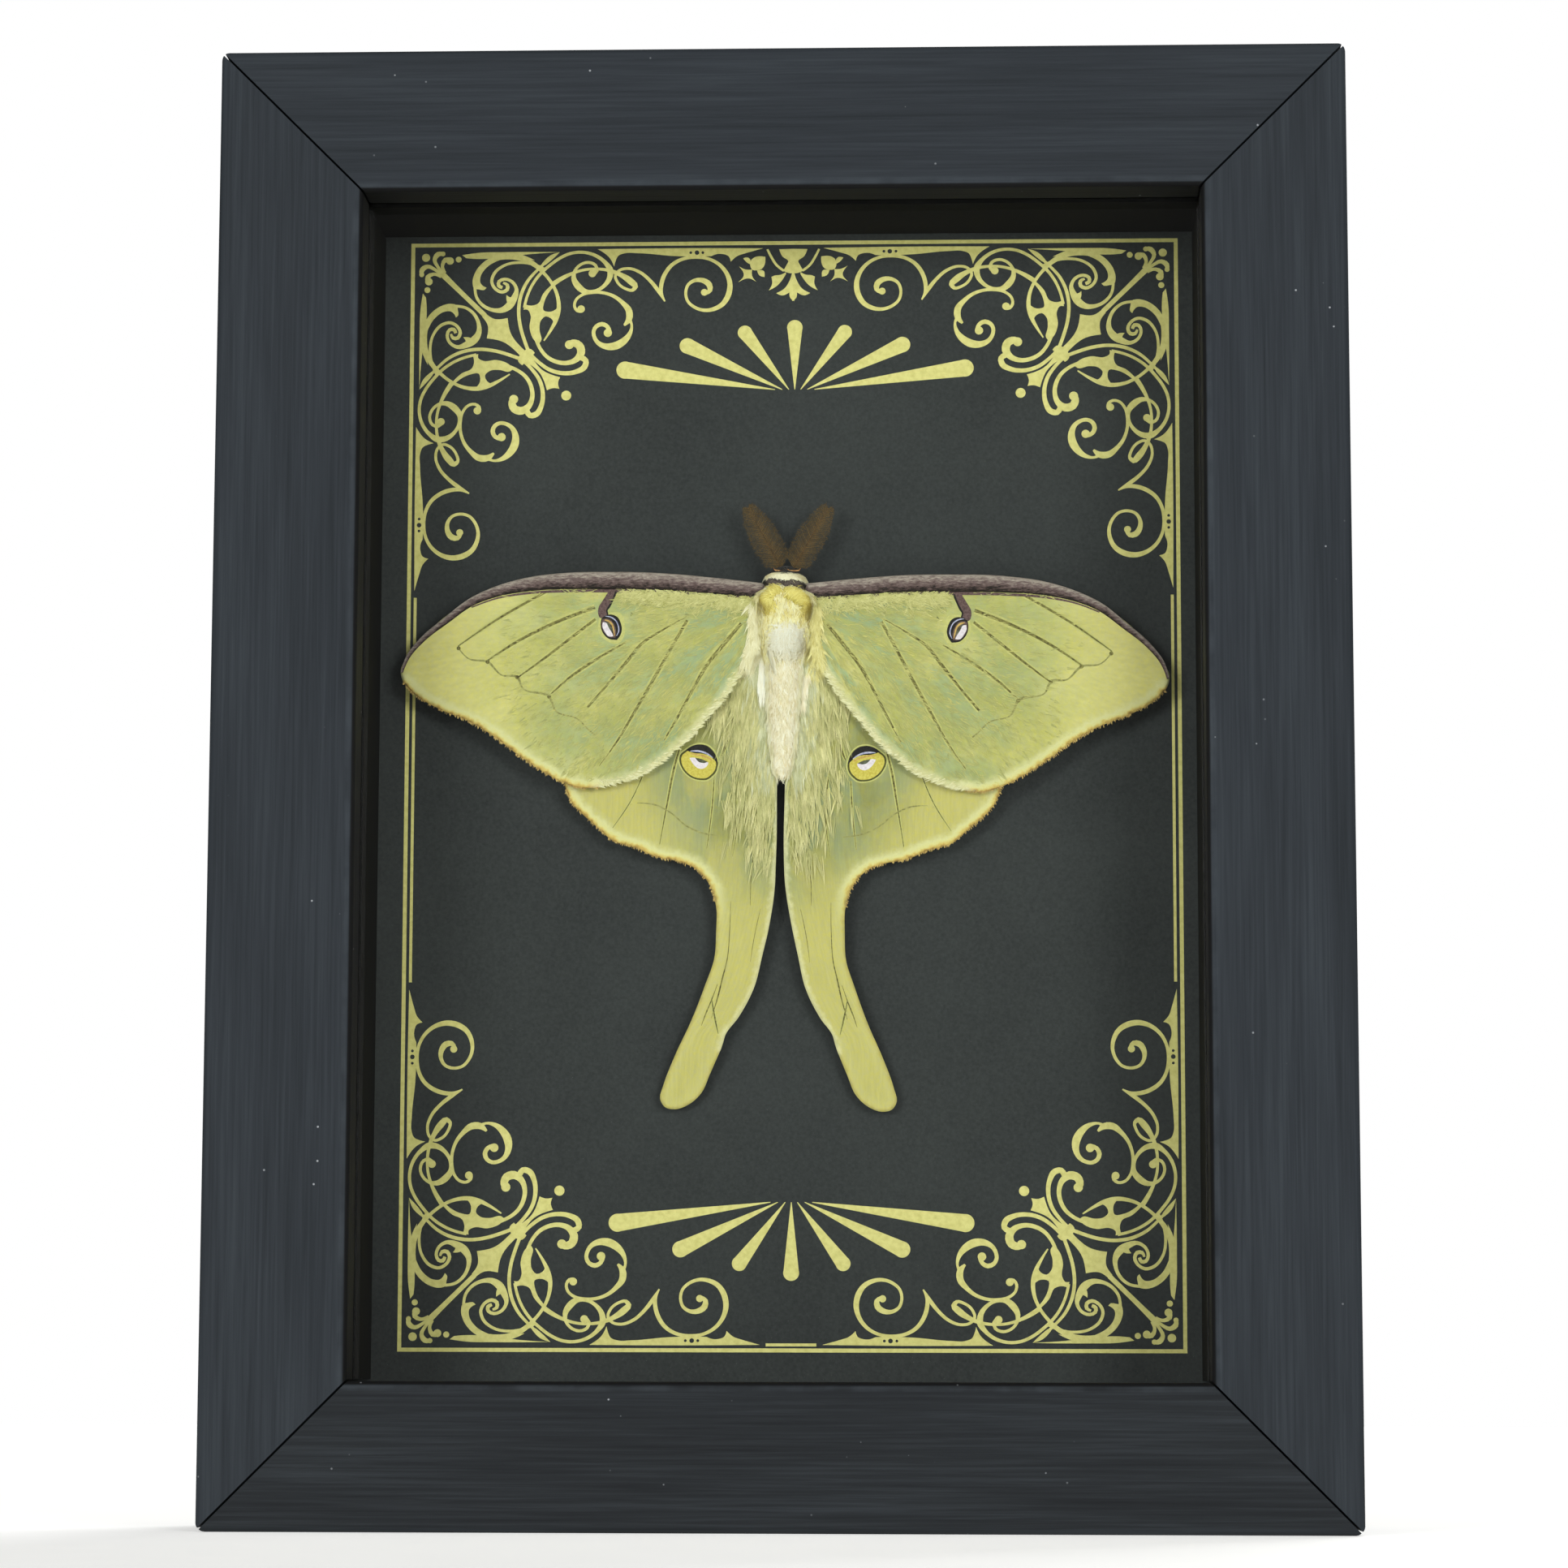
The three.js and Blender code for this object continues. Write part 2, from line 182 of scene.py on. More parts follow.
def softbox(name, place, power, side):
    """A square area lamp that looks at the middle of the frame."""
    lamp = bpy.data.lights.new(name, "AREA")
    lamp.energy = power
    lamp.size = side
    holder = bpy.data.objects.new(name, lamp)
    holder.location = place
    holder.rotation_euler = (AIM - Vector(place)).to_track_quat("-Z", "Y").to_euler()
    bpy.context.scene.collection.objects.link(holder)
    return holder


softbox("key_softbox", (-1.4, -2.5, 0.5), 40, 1.0)
softbox("fill_softbox", (1.45, -2.5, 0.45), 40, 1.0)
softbox("high_softbox", (0.0, -2.5, 1.85), 9, 1.2)
softbox("overhead_softbox", (0.0, -0.15, 1.9), 4, 1.0)
softbox("rear_softbox", (0.7, 1.6, 1.3), 26, 1.2)
print("lamps", len(bpy.data.lights))

# %% [markdown]
# ## The wooden frame
#
# The four rails are mitred softwood, stained black and sealed with satin lacquer. The
# stain sinks in unevenly, so the grain still shows as fine streaks along each rail:
# long, narrow and a shade lighter. The streaks come from noise that is stretched along
# the rail, so upright and level rails need their own direction. Along the front of the
# inner arris a thin lighter line is painted in patches: a painted highlight where
# light catches the rounded edge.

# %% Stained wood
OPENING_HALF_WIDTH = 58.3 * MM
OPENING_HALF_HEIGHT = 82.3 * MM
MIDDLE_HEIGHT = 102.5 * MM
FRONT_Y = cad_box[0][1]
GRAIN_WIDTH = 0.5  # mm, a growth ring of slow softwood as sawn
GRAIN_LENGTH = 26.0  # mm, how far one streak runs before it fades


def stained_wood(name, level, tone):
    """Black-stained, satin-lacquered wood. The eye gets slate grey with quiet streaks."""
    material, tree, shader = new_material(name)
    place = add(tree, "ShaderNodeTexCoord").outputs["Object"]
    narrow, long = per_mm(GRAIN_WIDTH), per_mm(GRAIN_LENGTH)
    stretch = (long, narrow, narrow) if level else (narrow, narrow, long)
    along = add(tree, "ShaderNodeMapping", {"Vector": place, "Scale": stretch})
    streaks = add(tree, "ShaderNodeTexNoise", {
        "Vector": along.outputs[0], "Scale": 1.0, "Detail": 5.0, "Roughness": 0.62, "Distortion": 0.3})
    wide = (long * 0.5, narrow * 0.13, narrow * 0.13) if level else (narrow * 0.13, narrow * 0.13,
            long * 0.5)
    broad = add(tree, "ShaderNodeMapping", {"Vector": place, "Scale": wide})
    bands = add(tree, "ShaderNodeTexNoise", {"Vector": broad.outputs[0], "Scale": 1.0, "Detail": 2.0})
    blend = add(tree, "ShaderNodeMix", {
        0: 0.4, 2: streaks.outputs["Fac"], 3: bands.outputs["Fac"]}, data_type="FLOAT")
    stain = add(tree, "ShaderNodeValToRGB", {
        "Fac": blend.outputs[0]}, ramp=((0.33, tone[0]), (0.5, tone[1]), (0.68, tone[2])))

    # How far a point is outside the opening, which is 0 on the inner arris.
    axes = add(tree, "ShaderNodeSeparateXYZ", {0: place})
    across = add(tree, "ShaderNodeMath", {0: axes.outputs["X"]}, operation="ABSOLUTE")
    across = add(tree, "ShaderNodeMath", {0: across.outputs[0], 1: OPENING_HALF_WIDTH}, operation="SUBTRACT")
    upward = add(tree, "ShaderNodeMath", {0: axes.outputs["Z"], 1: MIDDLE_HEIGHT}, operation="SUBTRACT")
    upward = add(tree, "ShaderNodeMath", {0: upward.outputs[0]}, operation="ABSOLUTE")
    upward = add(tree, "ShaderNodeMath", {
        0: upward.outputs[0], 1: OPENING_HALF_HEIGHT}, operation="SUBTRACT")
    outside = add(tree, "ShaderNodeMath", {0: across.outputs[0], 1: upward.outputs[0]}, operation="MAXIMUM")
    # A faint painted highlight: in patches, the front of the inner arris is mixed toward a lighter grey,
    # where light catches the rounded edge.
    arris_band = add(tree, "ShaderNodeMapRange", {"Value": outside.outputs[0], "From Min": 1.5 * MM,
            "From Max": 1.05 * MM}, interpolation_type="SMOOTHSTEP")
    near = add(tree, "ShaderNodeMapRange", {"Value": axes.outputs["Y"], "From Min": FRONT_Y + 1.6 * MM,
            "From Max": FRONT_Y + 0.2 * MM}, interpolation_type="SMOOTHSTEP")
    arris_highlight = add(tree, "ShaderNodeMath", {0: arris_band.outputs[0], 1: near.outputs[0]}, operation="MULTIPLY")
    patchy = add(tree, "ShaderNodeTexNoise", {"Vector": place, "Scale": per_mm(4.0), "Detail": 4.0})
    patchy = add(tree, "ShaderNodeMapRange", {
        "Value": patchy.outputs["Fac"], "From Min": 0.35, "From Max": 0.65, "To Min": 0.0, "To Max": 0.12})
    arris_highlight = add(tree, "ShaderNodeMath", {0: arris_highlight.outputs[0], 1: patchy.outputs[0]}, operation="MULTIPLY")
    stain_with_painted_light = add(tree, "ShaderNodeMix", {
        0: arris_highlight.outputs[0], 6: stain.outputs["Color"], 7: srgb("#5A636A")}, data_type="RGBA")

    # The inner faces, from the rounded edge on, are coloured nearly black: painted shade for the recess that
    # they face into.
    inner = add(tree, "ShaderNodeMapRange", {"Value": outside.outputs[0], "From Min": 0.65 * MM,
            "From Max": 0.35 * MM}, interpolation_type="SMOOTHSTEP")
    stain_with_painted_light = add(tree, "ShaderNodeMix", {
        0: inner.outputs[0], 6: stain_with_painted_light.outputs[2], 7: srgb("#08090A")}, data_type="RGBA")

    # A few specks of pale dust, each about a third of a millimetre across.
    dust = add(tree, "ShaderNodeTexVoronoi", {"Vector": place, "Scale": per_mm(3.2), "Randomness": 1.0})
    speck = add(tree, "ShaderNodeMapRange", {
        "Value": dust.outputs["Distance"], "From Min": 0.055, "From Max": 0.03})
    rare = add(tree, "ShaderNodeTexNoise", {"Vector": place, "Scale": per_mm(12.0), "Detail": 2.0})
    rare = add(tree, "ShaderNodeMapRange", {
        "Value": rare.outputs["Fac"], "From Min": 0.52, "From Max": 0.64, "To Max": 0.7})
    speck = add(tree, "ShaderNodeMath", {0: speck.outputs[0], 1: rare.outputs[0]}, operation="MULTIPLY")
    dusty = add(tree, "ShaderNodeMix", {
        0: speck.outputs[0], 6: stain_with_painted_light.outputs[2], 7: srgb("#A9AEB2")}, data_type="RGBA")
    tree.links.new(dusty.outputs[2], shader.inputs["Base Color"])

    sheen = add(tree, "ShaderNodeMapRange", {"Value": streaks.outputs["Fac"], "To Min": 0.8, "To Max": 0.62})
    tree.links.new(sheen.outputs[0], shader.inputs["Roughness"])
    shader.inputs["IOR"].default_value = 1.48
    shader.inputs["Specular IOR Level"].default_value = 0.18
    relief = add(tree, "ShaderNodeBump", {
        "Strength": 0.25, "Distance": 0.15 * MM, "Height": streaks.outputs["Fac"]})
    tree.links.new(relief.outputs[0], shader.inputs["Normal"])
    return material


# The bottom rail is stained like the others. Its darker tone is painted shade.
UPRIGHT_TONE = ("#1E2327", "#252A2F", "#2D3338")
BOTTOM_SHADED_TONE = ("#15181B", "#1D2124", "#292E32")
rail_finish = {
    "rail_top": stained_wood("black-stained wood, top rail", True, UPRIGHT_TONE),
    "rail_bottom": stained_wood("black-stained wood, bottom rail", True, BOTTOM_SHADED_TONE),
    "rail_left": stained_wood("black-stained wood, upright rails", False, UPRIGHT_TONE),
}
rail_finish["rail_right"] = rail_finish["rail_left"]


def dress(node, material):
    """Puts a material on a CAD node in place of the plain one it came with."""
    mesh = nodes[node].data
    mesh.materials.clear()
    mesh.materials.append(material)


for rail, finish in rail_finish.items():
    dress(rail, finish)
print("rails stained:", len(rail_finish))

# %% [markdown]
# ## Inside and behind: spacers, backing board, tabs and hanging plate
#
# Four thin strips, brushed with matt black paint, hold the glass off the card. Their
# black is drawn darker than the paint alone: partly the paint, partly painted shade of
# the deep recess. The back is closed by brown hardboard: pressed wood fibre, with pale
# and dark flecks matted flat. Six zinc-plated tabs bend over it, and a stamped,
# zinc-plated plate with teeth hangs the frame. Zinc plate is a bright metal with a faint
# cloudy bloom.

# %% Black paint, hardboard and zinc
matt_black_and_shade, tree, shader = new_material("matt black paint on wood")
place = add(tree, "ShaderNodeTexCoord").outputs["Object"]
brushed = add(tree, "ShaderNodeTexNoise", {"Vector": place, "Scale": per_mm(2.0), "Detail": 6.0})
# Darker than real matt black: part paint, part painted shade of the deep recess.
paint = add(tree, "ShaderNodeValToRGB", {
    "Fac": brushed.outputs["Fac"]}, ramp=((0.0, "#070706"), (1.0, "#0F0F0D")))
tree.links.new(paint.outputs["Color"], shader.inputs["Base Color"])
relief = add(tree, "ShaderNodeBump", {
    "Strength": 0.3, "Distance": 0.1 * MM, "Height": brushed.outputs["Fac"]})
tree.links.new(relief.outputs[0], shader.inputs["Normal"])
shader.inputs["Roughness"].default_value = 0.9
shader.inputs["Specular IOR Level"].default_value = 0.1
for strip in ("spacer_top", "spacer_bottom", "spacer_left", "spacer_right"):
    dress(strip, matt_black_and_shade)

hardboard, tree, shader = new_material("hardboard, pressed wood fibre")
place = add(tree, "ShaderNodeTexCoord").outputs["Object"]
FIBRE_LENGTH, FIBRE_WIDTH = 3.0, 0.5  # mm
lay = add(tree, "ShaderNodeMapping",
          {"Vector": place, "Scale": (per_mm(FIBRE_LENGTH), per_mm(2.0), per_mm(FIBRE_WIDTH)),
           "Rotation": (0, 0.5, 0)})
fibres = add(tree, "ShaderNodeTexNoise", {
    "Vector": lay.outputs[0], "Scale": 1.0, "Detail": 6.0, "Distortion": 1.2})
crossing = add(tree, "ShaderNodeMapping",
               {"Vector": place, "Scale": (per_mm(FIBRE_WIDTH), per_mm(2.0), per_mm(FIBRE_LENGTH)),
                "Rotation": (0, 0.3, 0)})
crossed = add(tree, "ShaderNodeTexNoise", {
    "Vector": crossing.outputs[0], "Scale": 1.0, "Detail": 6.0, "Distortion": 1.2})
matted = add(tree, "ShaderNodeMix", {
    0: 0.5, 2: fibres.outputs["Fac"], 3: crossed.outputs["Fac"]}, data_type="FLOAT")
brown = add(tree, "ShaderNodeValToRGB", {
    "Fac": matted.outputs[0]}, ramp=((0.36, "#5F4630"), (0.64, "#A07F5A")))
tree.links.new(brown.outputs["Color"], shader.inputs["Base Color"])
relief = add(tree, "ShaderNodeBump", {"Strength": 0.4, "Distance": 0.1 * MM, "Height": matted.outputs[0]})
tree.links.new(relief.outputs[0], shader.inputs["Normal"])
shader.inputs["Roughness"].default_value = 0.7
dress("backing_board", hardboard)

zinc, tree, shader = new_material("zinc-plated steel, stamped")
place = add(tree, "ShaderNodeTexCoord").outputs["Object"]
bloom = add(tree, "ShaderNodeTexNoise", {"Vector": place, "Scale": per_mm(2.5), "Detail": 5.0})
plate = add(tree, "ShaderNodeValToRGB", {
    "Fac": bloom.outputs["Fac"]}, ramp=((0.0, "#9EA3A6"), (1.0, "#CDD1D2")))
tree.links.new(plate.outputs["Color"], shader.inputs["Base Color"])
cloudy = add(tree, "ShaderNodeMapRange", {"Value": bloom.outputs["Fac"], "To Min": 0.28, "To Max": 0.5})
tree.links.new(cloudy.outputs[0], shader.inputs["Roughness"])
shader.inputs["Metallic"].default_value = 1.0
fittings = [name for name in nodes if name.startswith("tab_")] + ["hanging_plate"]
for name in fittings:
    dress(name, zinc)
print("fittings plated:", len(fittings))

# %% [markdown]
# ## Lines, strokes and inlays
#
# The card's print and the moth's markings are flat figures on a sheet: scrolls of gold
# ink, dark veins, the rings of an eyespot. They could be painted with textures, but
# then thin lines blur. Here each figure is a closed outline, and the sheet is cut into
# triangles along all the outlines at once, like marquetry. Each triangle then takes
# the finish of the last figure that covers it, so the print stays flush and crisp.


# %% Smooth lines
def through(points, spacing, closed=False):
    """A smooth line through the points. Columns after the second ride along, as widths do."""
    p = np.array(points, float)
    if closed:
        p = np.vstack([p, p[:1]])
    step = np.maximum(np.hypot(*np.diff(p[:, :2], axis=0).T), 1e-6)
    slope = np.diff(p, axis=0) / step[:, None]
    inner = (slope[:-1] * step[1:, None] + slope[1:] * step[:-1, None]) / (step[1:] + step[:-1])[:, None]
    if closed:
        ends = (slope[-1] * step[0] + slope[0] * step[-1]) / (step[0] + step[-1])
        tangent = np.vstack([ends, inner, ends])
    else:
        tangent = np.vstack([slope[0] * 1.5 - inner[0] * 0.5, inner,
                             slope[-1] * 1.5 - inner[-1] * 0.5]) if len(inner) else np.vstack([slope[0],
                                     slope[0]])
    line = []
    for i, length in enumerate(step):
        t = np.arange(max(1, round(length / spacing))) / max(1, round(length / spacing))
        t = t[:, None]
        line.append(
            p[i] * (2 * t**3 - 3 * t**2 + 1)
            + tangent[i] * length * (t**3 - 2 * t**2 + t)
            + p[i + 1] * (3 * t**2 - 2 * t**3)
            + tangent[i + 1] * length * (t**3 - t**2)
        )
    if not closed:
        line.append(p[-1:])
    return np.vstack(line)


def stroke(points, spacing=0.35):
    """The outline of a pen stroke. Each point is (x, y, width of the line there)."""
    line = through(points, spacing)
    ahead = np.gradient(line[:, :2], axis=0)
    ahead /= np.maximum(np.hypot(*ahead.T), 1e-9)[:, None]
    side = np.stack([-ahead[:, 1], ahead[:, 0]], 1) * np.maximum(line[:, 2:3], 0.02) / 2
    return np.vstack([line[:, :2] + side, (line[:, :2] - side)[::-1]])


def disc(x, y, radius, count=20):
    """A round dot."""
    angle = np.arange(count) / count * math.tau
    return np.stack([x + radius * np.cos(angle), y + radius * np.sin(angle)], 1)


def leaf(*runs, spacing=0.35):
    """A closed figure made of smooth runs that meet in sharp corners."""
    return np.vstack([through(run, spacing)[:-1] for run in runs])


def inside(points, outline):
    """Which of the points lie inside a closed outline."""
    x, y = points[:, 0:1], points[:, 1:2]
    x0, y0 = outline.T
    x1, y1 = np.roll(outline, -1, axis=0).T
    with np.errstate(divide="ignore", invalid="ignore"):
        crossing = ((y0 > y) != (y1 > y)) & (x < (x1 - x0) * (y - y0) / (y1 - y0) + x0)
    return crossing.sum(axis=1) % 2 == 1


def distance_to(points, line, chunk=4000):
    """How far each point is from a line of points, in the same units."""
    a, b = line[:-1, :2], line[1:, :2]
    run = b - a
    size = np.maximum((run**2).sum(1), 1e-12)
    found = []
    for start in range(0, len(points), chunk):
        off = points[start : start + chunk, None, :2] - a[None]
        t = np.clip((off * run).sum(2) / size, 0, 1)
        found.append(np.sqrt(((off - t[:, :, None] * run) ** 2).sum(2)).min(1))
    return np.concatenate(found)


def inlay(edge, figures, spacing=None):
    """Cuts the sheet inside edge along the figures, which are (outline, finish number).

    Gives the points, the triangles, and each triangle's finish: 0 where no figure is.
    """
    points, faces = [], []
    for outline in [edge] + [figure for figure, finish in figures]:
        x, y = outline.T
        if (x * np.roll(y, -1) - y * np.roll(x, -1)).sum() < 0:
            outline = outline[::-1]
        faces.append(list(range(len(points), len(points) + len(outline))))
        points.extend(map(tuple, outline))
    if spacing:
        low, high = edge.min(0), edge.max(0)
        rows = np.arange(low[1], high[1], spacing * 0.866)
        columns = np.arange(low[0], high[0], spacing)
        grid = np.array([(x + (i % 2) * spacing / 2, y) for i, y in enumerate(rows) for x in columns])
        ring = np.vstack([edge, edge[:1]])
        keep = inside(grid, edge)
        grid = grid[keep]
        grid = grid[distance_to(grid, ring) > spacing * 0.4]
        points.extend(map(tuple, grid))
    flat, _, triangles, _, _, owners = delaunay_2d_cdt([Vector(p) for p in points], [], faces, 1, 1e-5)
    finish_of = [0] + [finish for figure, finish in figures]
    kept = [(tuple(t), finish_of[max(o)]) for t, o in zip(triangles, owners) if 0 in o]
    return np.array(flat), [t for t, _ in kept], [f for _, f in kept]


def make_piece(name, points, faces, materials, numbers=None, smooth=True):
    """A mesh object from points in millimetres, riding on the root body."""
    mesh = bpy.data.meshes.new(name)
    mesh.from_pydata([tuple(float(c) * MM for c in p) for p in points], [], faces)
    for material in materials:
        mesh.materials.append(material)
    if numbers is not None:
        mesh.polygons.foreach_set("material_index", numbers)
    mesh.polygons.foreach_set("use_smooth", [smooth] * len(faces))
    mesh.update()
    piece = bpy.data.objects.new(name, mesh)
    bpy.context.scene.collection.objects.link(piece)
    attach(piece, "root")
    return piece

# %% [markdown]
# ## The printed card
#
# The card is stiff black board with a felt-like tooth. A border of gold ink frames it:
# a double line, and in each corner a traditional scroll ornament, with a small
# palmette at the top. One half of a corner is drawn here, in millimetres from the
# corner of the border. The other half is its mirror image in the corner's diagonal,
# and the other three corners are mirror images too.

# %% The ornament, half a corner
BORDER_WIDTH, BORDER_HEIGHT = 110.9, 159.6
BORDER_LEFT, BORDER_TOP = -54.65, 183.9
CARD, GOLD = 0, 1
AXIS = 55.6
INK = 0.42  # mm, the thin lines of the print

half_scrolls = [
    disc(6.9, 2.4, 0.43),
    stroke([(4.8, 4.6, 0.5), (3.9, 3.5, 0.45), (3.4, 2.4, 0.6), (3.9, 1.6, 0.75), (4.5, 1.5, 0.55)]),
    disc(4.6, 1.55, 0.36),
    stroke([(4.9, 4.4, 0.5), (4.55, 3.2, 0.5), (4.95, 2.45, 0.7), (5.6, 2.5, 0.8)]),
    disc(5.65, 2.6, 0.55),
    leaf([(7.4, 1.75), (9.5, 1.45), (14, 1.35), (21.6, 1.4)], [(21.6, 1.4), (17, 1.7), (12.5, 2.25),
        (9, 2.3), (8.0, 2.2)], [(8.0, 2.2), (7.4, 1.75)]),
    leaf([(21.6, 1.4), (20.2, 1.9), (19.0, 3.1)], [(19.0, 3.1), (19.5, 3.3)],
         [(19.5, 3.3), (20.6, 2.4), (21.6, 1.4)]),
    leaf([(11.0, 6.6), (10.6, 6.95), (9.9, 6.85), (9.2, 6.7), (8.95, 5.8), (9.2, 4.6), (10.2, 3.1),
          (12.0, 1.95), (13.4, 1.6)],
          [(13.4, 1.6), (16.0, 1.75), (18.0, 2.6)], [(18.0, 2.6), (15.5, 2.35), (12.9, 2.5)],
          [(12.9, 2.5), (11.0, 3.6), (10.1, 5.0), (10.1, 5.9), (10.5, 6.35), (11.0, 6.6)]),
    stroke([(13.0, 2.2, 0.5), (15.8, 2.25, 0.75), (17.8, 3.15, 0.7), (19.2, 4.4, 0.5), (20.4, 5.9, 0.45),
            (21.25, 7.7, 0.5),
             (21.5, 9.9, 0.62), (21.1, 11.5, 0.6), (20.4, 12.9, 0.42), (19.4, 14.5, 0.2)]),
    stroke([(9.3, 6.6, 0.4), (9.6, 8.1, 0.42), (10.6, 9.3, 0.48), (11.9, 9.9, 0.55), (13.2, 9.95, 0.8),
            (14.3, 9.3, 1.1), (15.0, 8.2, 0.95),
             (15.35, 6.9, 0.55), (14.7, 5.75, 0.45), (13.6, 5.35, 0.45), (12.8, 5.7, 0.5),
            (12.75, 6.3, 0.55), (13.3, 6.6, 0.45)]),
    leaf([(13.9, 7.7), (14.6, 8.1), (15.2, 7.9)], [(15.2, 7.9), (14.3, 9.2)],
         [(14.3, 9.2), (13.95, 8.6), (13.9, 7.7)]),
    stroke([(19.4, 3.9, 0.35), (17.8, 3.2, 0.4), (15.8, 2.9, 0.4), (13.6, 3.3, 0.4), (12.1, 4.5, 0.45),
            (11.75, 5.8, 0.45),
             (12.3, 6.8, 0.45), (13.3, 7.25, 0.5), (14.0, 6.9, 0.55), (14.0, 6.2, 0.5), (13.4, 5.9, 0.3)]),
    stroke([(20.8, 1.9, 0.4), (18.5, 3.9, 0.4), (17.0, 5.6, 0.45), (16.0, 7.8, 0.5), (15.7, 9.9, 0.5),
            (15.95, 12.3, 0.5), (16.6, 14.5, 0.5), (17.2, 16.1, 0.5)]),
    stroke([(16.5, 9.6, 0.4), (16.95, 7.8, 0.4), (17.6, 6.3, 0.42), (18.8, 4.6, 0.45), (20.1, 3.4, 0.45),
            (21.6, 2.3, 0.45), (23.2, 1.6, 0.45),
             (25.0, 1.45, 0.45), (26.8, 1.95, 0.5), (28.2, 3.0, 0.6), (28.95, 4.2, 0.9), (28.8, 5.4, 0.75),
            (28.0, 6.5, 0.55), (26.8, 7.2, 0.5),
             (25.4, 7.3, 0.75), (24.3, 6.5, 0.95), (23.65, 5.3, 0.7), (23.8, 4.2, 0.45), (24.6, 3.3, 0.42),
            (25.7, 2.95, 0.42), (26.8, 3.4, 0.45),
             (27.0, 4.2, 0.5), (26.4, 4.7, 0.6)]),
    disc(26.35, 4.6, 0.55),
    leaf([(16.6, 9.1), (17.6, 9.3), (18.5, 9.0), (19.2, 7.6), (20.6, 6.1)], [(20.6, 6.1), (21.0, 6.3)],
          [(21.0, 6.3), (20.2, 7.2), (19.4, 8.8), (19.3, 10.0), (20.4, 10.2), (21.4, 9.6)],
         [(21.4, 9.6), (21.2, 11.6), (20.9, 12.2)],
          [(20.9, 12.2), (20.4, 11.2), (19.6, 10.9), (18.9, 11.6), (18.75, 12.9), (19.0, 14.5),
           (18.6, 15.0)],
          [(18.6, 15.0), (17.9, 14.3), (17.3, 12.6), (17.4, 10.6), (17.0, 9.9), (16.4, 9.9)],
         [(16.4, 9.9), (16.6, 9.1)]),
    stroke([(18.3, 14.4, 0.5), (18.9, 15.7, 0.5), (19.9, 16.9, 0.55), (21.2, 17.6, 0.6), (22.7, 17.8, 0.65),
            (24.1, 17.3, 0.85), (24.8, 16.3, 1.15),
             (24.5, 15.2, 1.15), (23.5, 14.85, 1.0), (22.7, 15.3, 0.6)]),
    disc(23.1, 15.1, 0.65),
    stroke([(17.2, 16.2, 0.5), (18.7, 17.7, 0.5), (20.3, 18.8, 0.55), (22.2, 19.3, 0.6), (24.1, 19.1, 0.7),
            (25.3, 18.4, 0.85), (25.5, 17.5, 0.8), (24.8, 17.0, 0.8)]),
    stroke([(20.4, 6.3, 0.7), (22.1, 5.2, 0.6), (23.6, 4.5, 0.45), (25.2, 4.05, 0.4), (27.2, 3.95, 0.4),
            (28.9, 4.2, 0.5), (30.6, 4.9, 0.7),
             (31.9, 5.8, 0.95), (32.6, 6.6, 0.75), (32.2, 7.1, 0.5), (31.2, 6.9, 0.4), (30.2, 6.2, 0.4),
            (29.7, 5.3, 0.4)]),
    stroke([(29.7, 5.35, 0.4), (29.75, 4.7, 0.4), (30.3, 4.15, 0.4), (31.6, 3.9, 0.4), (33.3, 4.5, 0.45),
            (34.8, 5.8, 0.5), (35.9, 7.2, 0.55), (36.9, 8.8, 0.2)]),
    stroke([(36.9, 8.8, 0.2), (36.35, 7.6, 0.5), (36.4, 6.1, 0.6), (36.9, 4.7, 0.6), (37.9, 3.4, 0.55),
            (39.3, 2.6, 0.5), (41.3, 2.3, 0.45),
             (43.0, 2.5, 0.45), (44.6, 3.3, 0.5), (45.8, 4.7, 0.6), (46.3, 6.4, 0.75), (46.0, 8.1, 0.8),
            (45.2, 9.3, 0.7), (43.9, 10.0, 0.6),
             (42.6, 10.15, 0.5), (41.2, 9.7, 0.45), (40.2, 8.8, 0.42), (39.9, 7.5, 0.42), (40.3, 6.3, 0.45),
            (41.3, 5.7, 0.55), (42.4, 5.75, 0.75),
             (43.3, 6.4, 0.85), (43.4, 7.2, 0.7), (42.8, 7.65, 0.5)]),
    disc(42.6, 7.5, 0.5),
    disc(24.75, 9.85, 0.55),
    stroke([(24.9, 10.2, 0.4), (24.2, 10.1, 0.45), (23.8, 9.5, 0.42), (24.0, 8.5, 0.4), (24.9, 7.75, 0.42),
            (26.4, 7.4, 0.45), (28.1, 7.5, 0.45),
             (29.5, 8.0, 0.5), (30.8, 9.0, 0.65), (31.7, 10.2, 0.95), (31.7, 11.4, 0.9), (31.0, 12.3, 0.3)]),
    stroke([(31.6, 11.2, 0.6), (32.1, 12.2, 0.35), (31.9, 13.4, 0.6), (31.0, 14.6, 1.0), (29.8, 15.3, 1.15),
            (28.4, 15.4, 0.9), (27.3, 14.9, 0.65),
             (26.7, 14.0, 0.55), (26.6, 13.1, 0.55), (27.0, 12.4, 0.6), (27.8, 12.1, 0.65),
            (28.6, 12.5, 0.6), (28.9, 13.2, 0.6)]),
    disc(28.65, 13.4, 0.6),
    leaf([(27.1, 1.0), (39.0, 0.95), (51.1, 1.05)], [(51.1, 1.05), (50.0, 1.35), (48.6, 1.75), (47.3, 2.2),
        (46.4, 3.0)],
          [(46.4, 3.0), (46.1, 2.2), (45.2, 1.85), (44.4, 1.85), (43.6, 2.15)],
         [(43.6, 2.15), (42.4, 2.2), (38.3, 2.1), (33.0, 1.65), (31.0, 1.65), (30.1, 2.0), (29.7, 2.8),
          (29.5, 3.6)],
          [(29.5, 3.6), (28.9, 2.4), (27.1, 1.0)]),
]
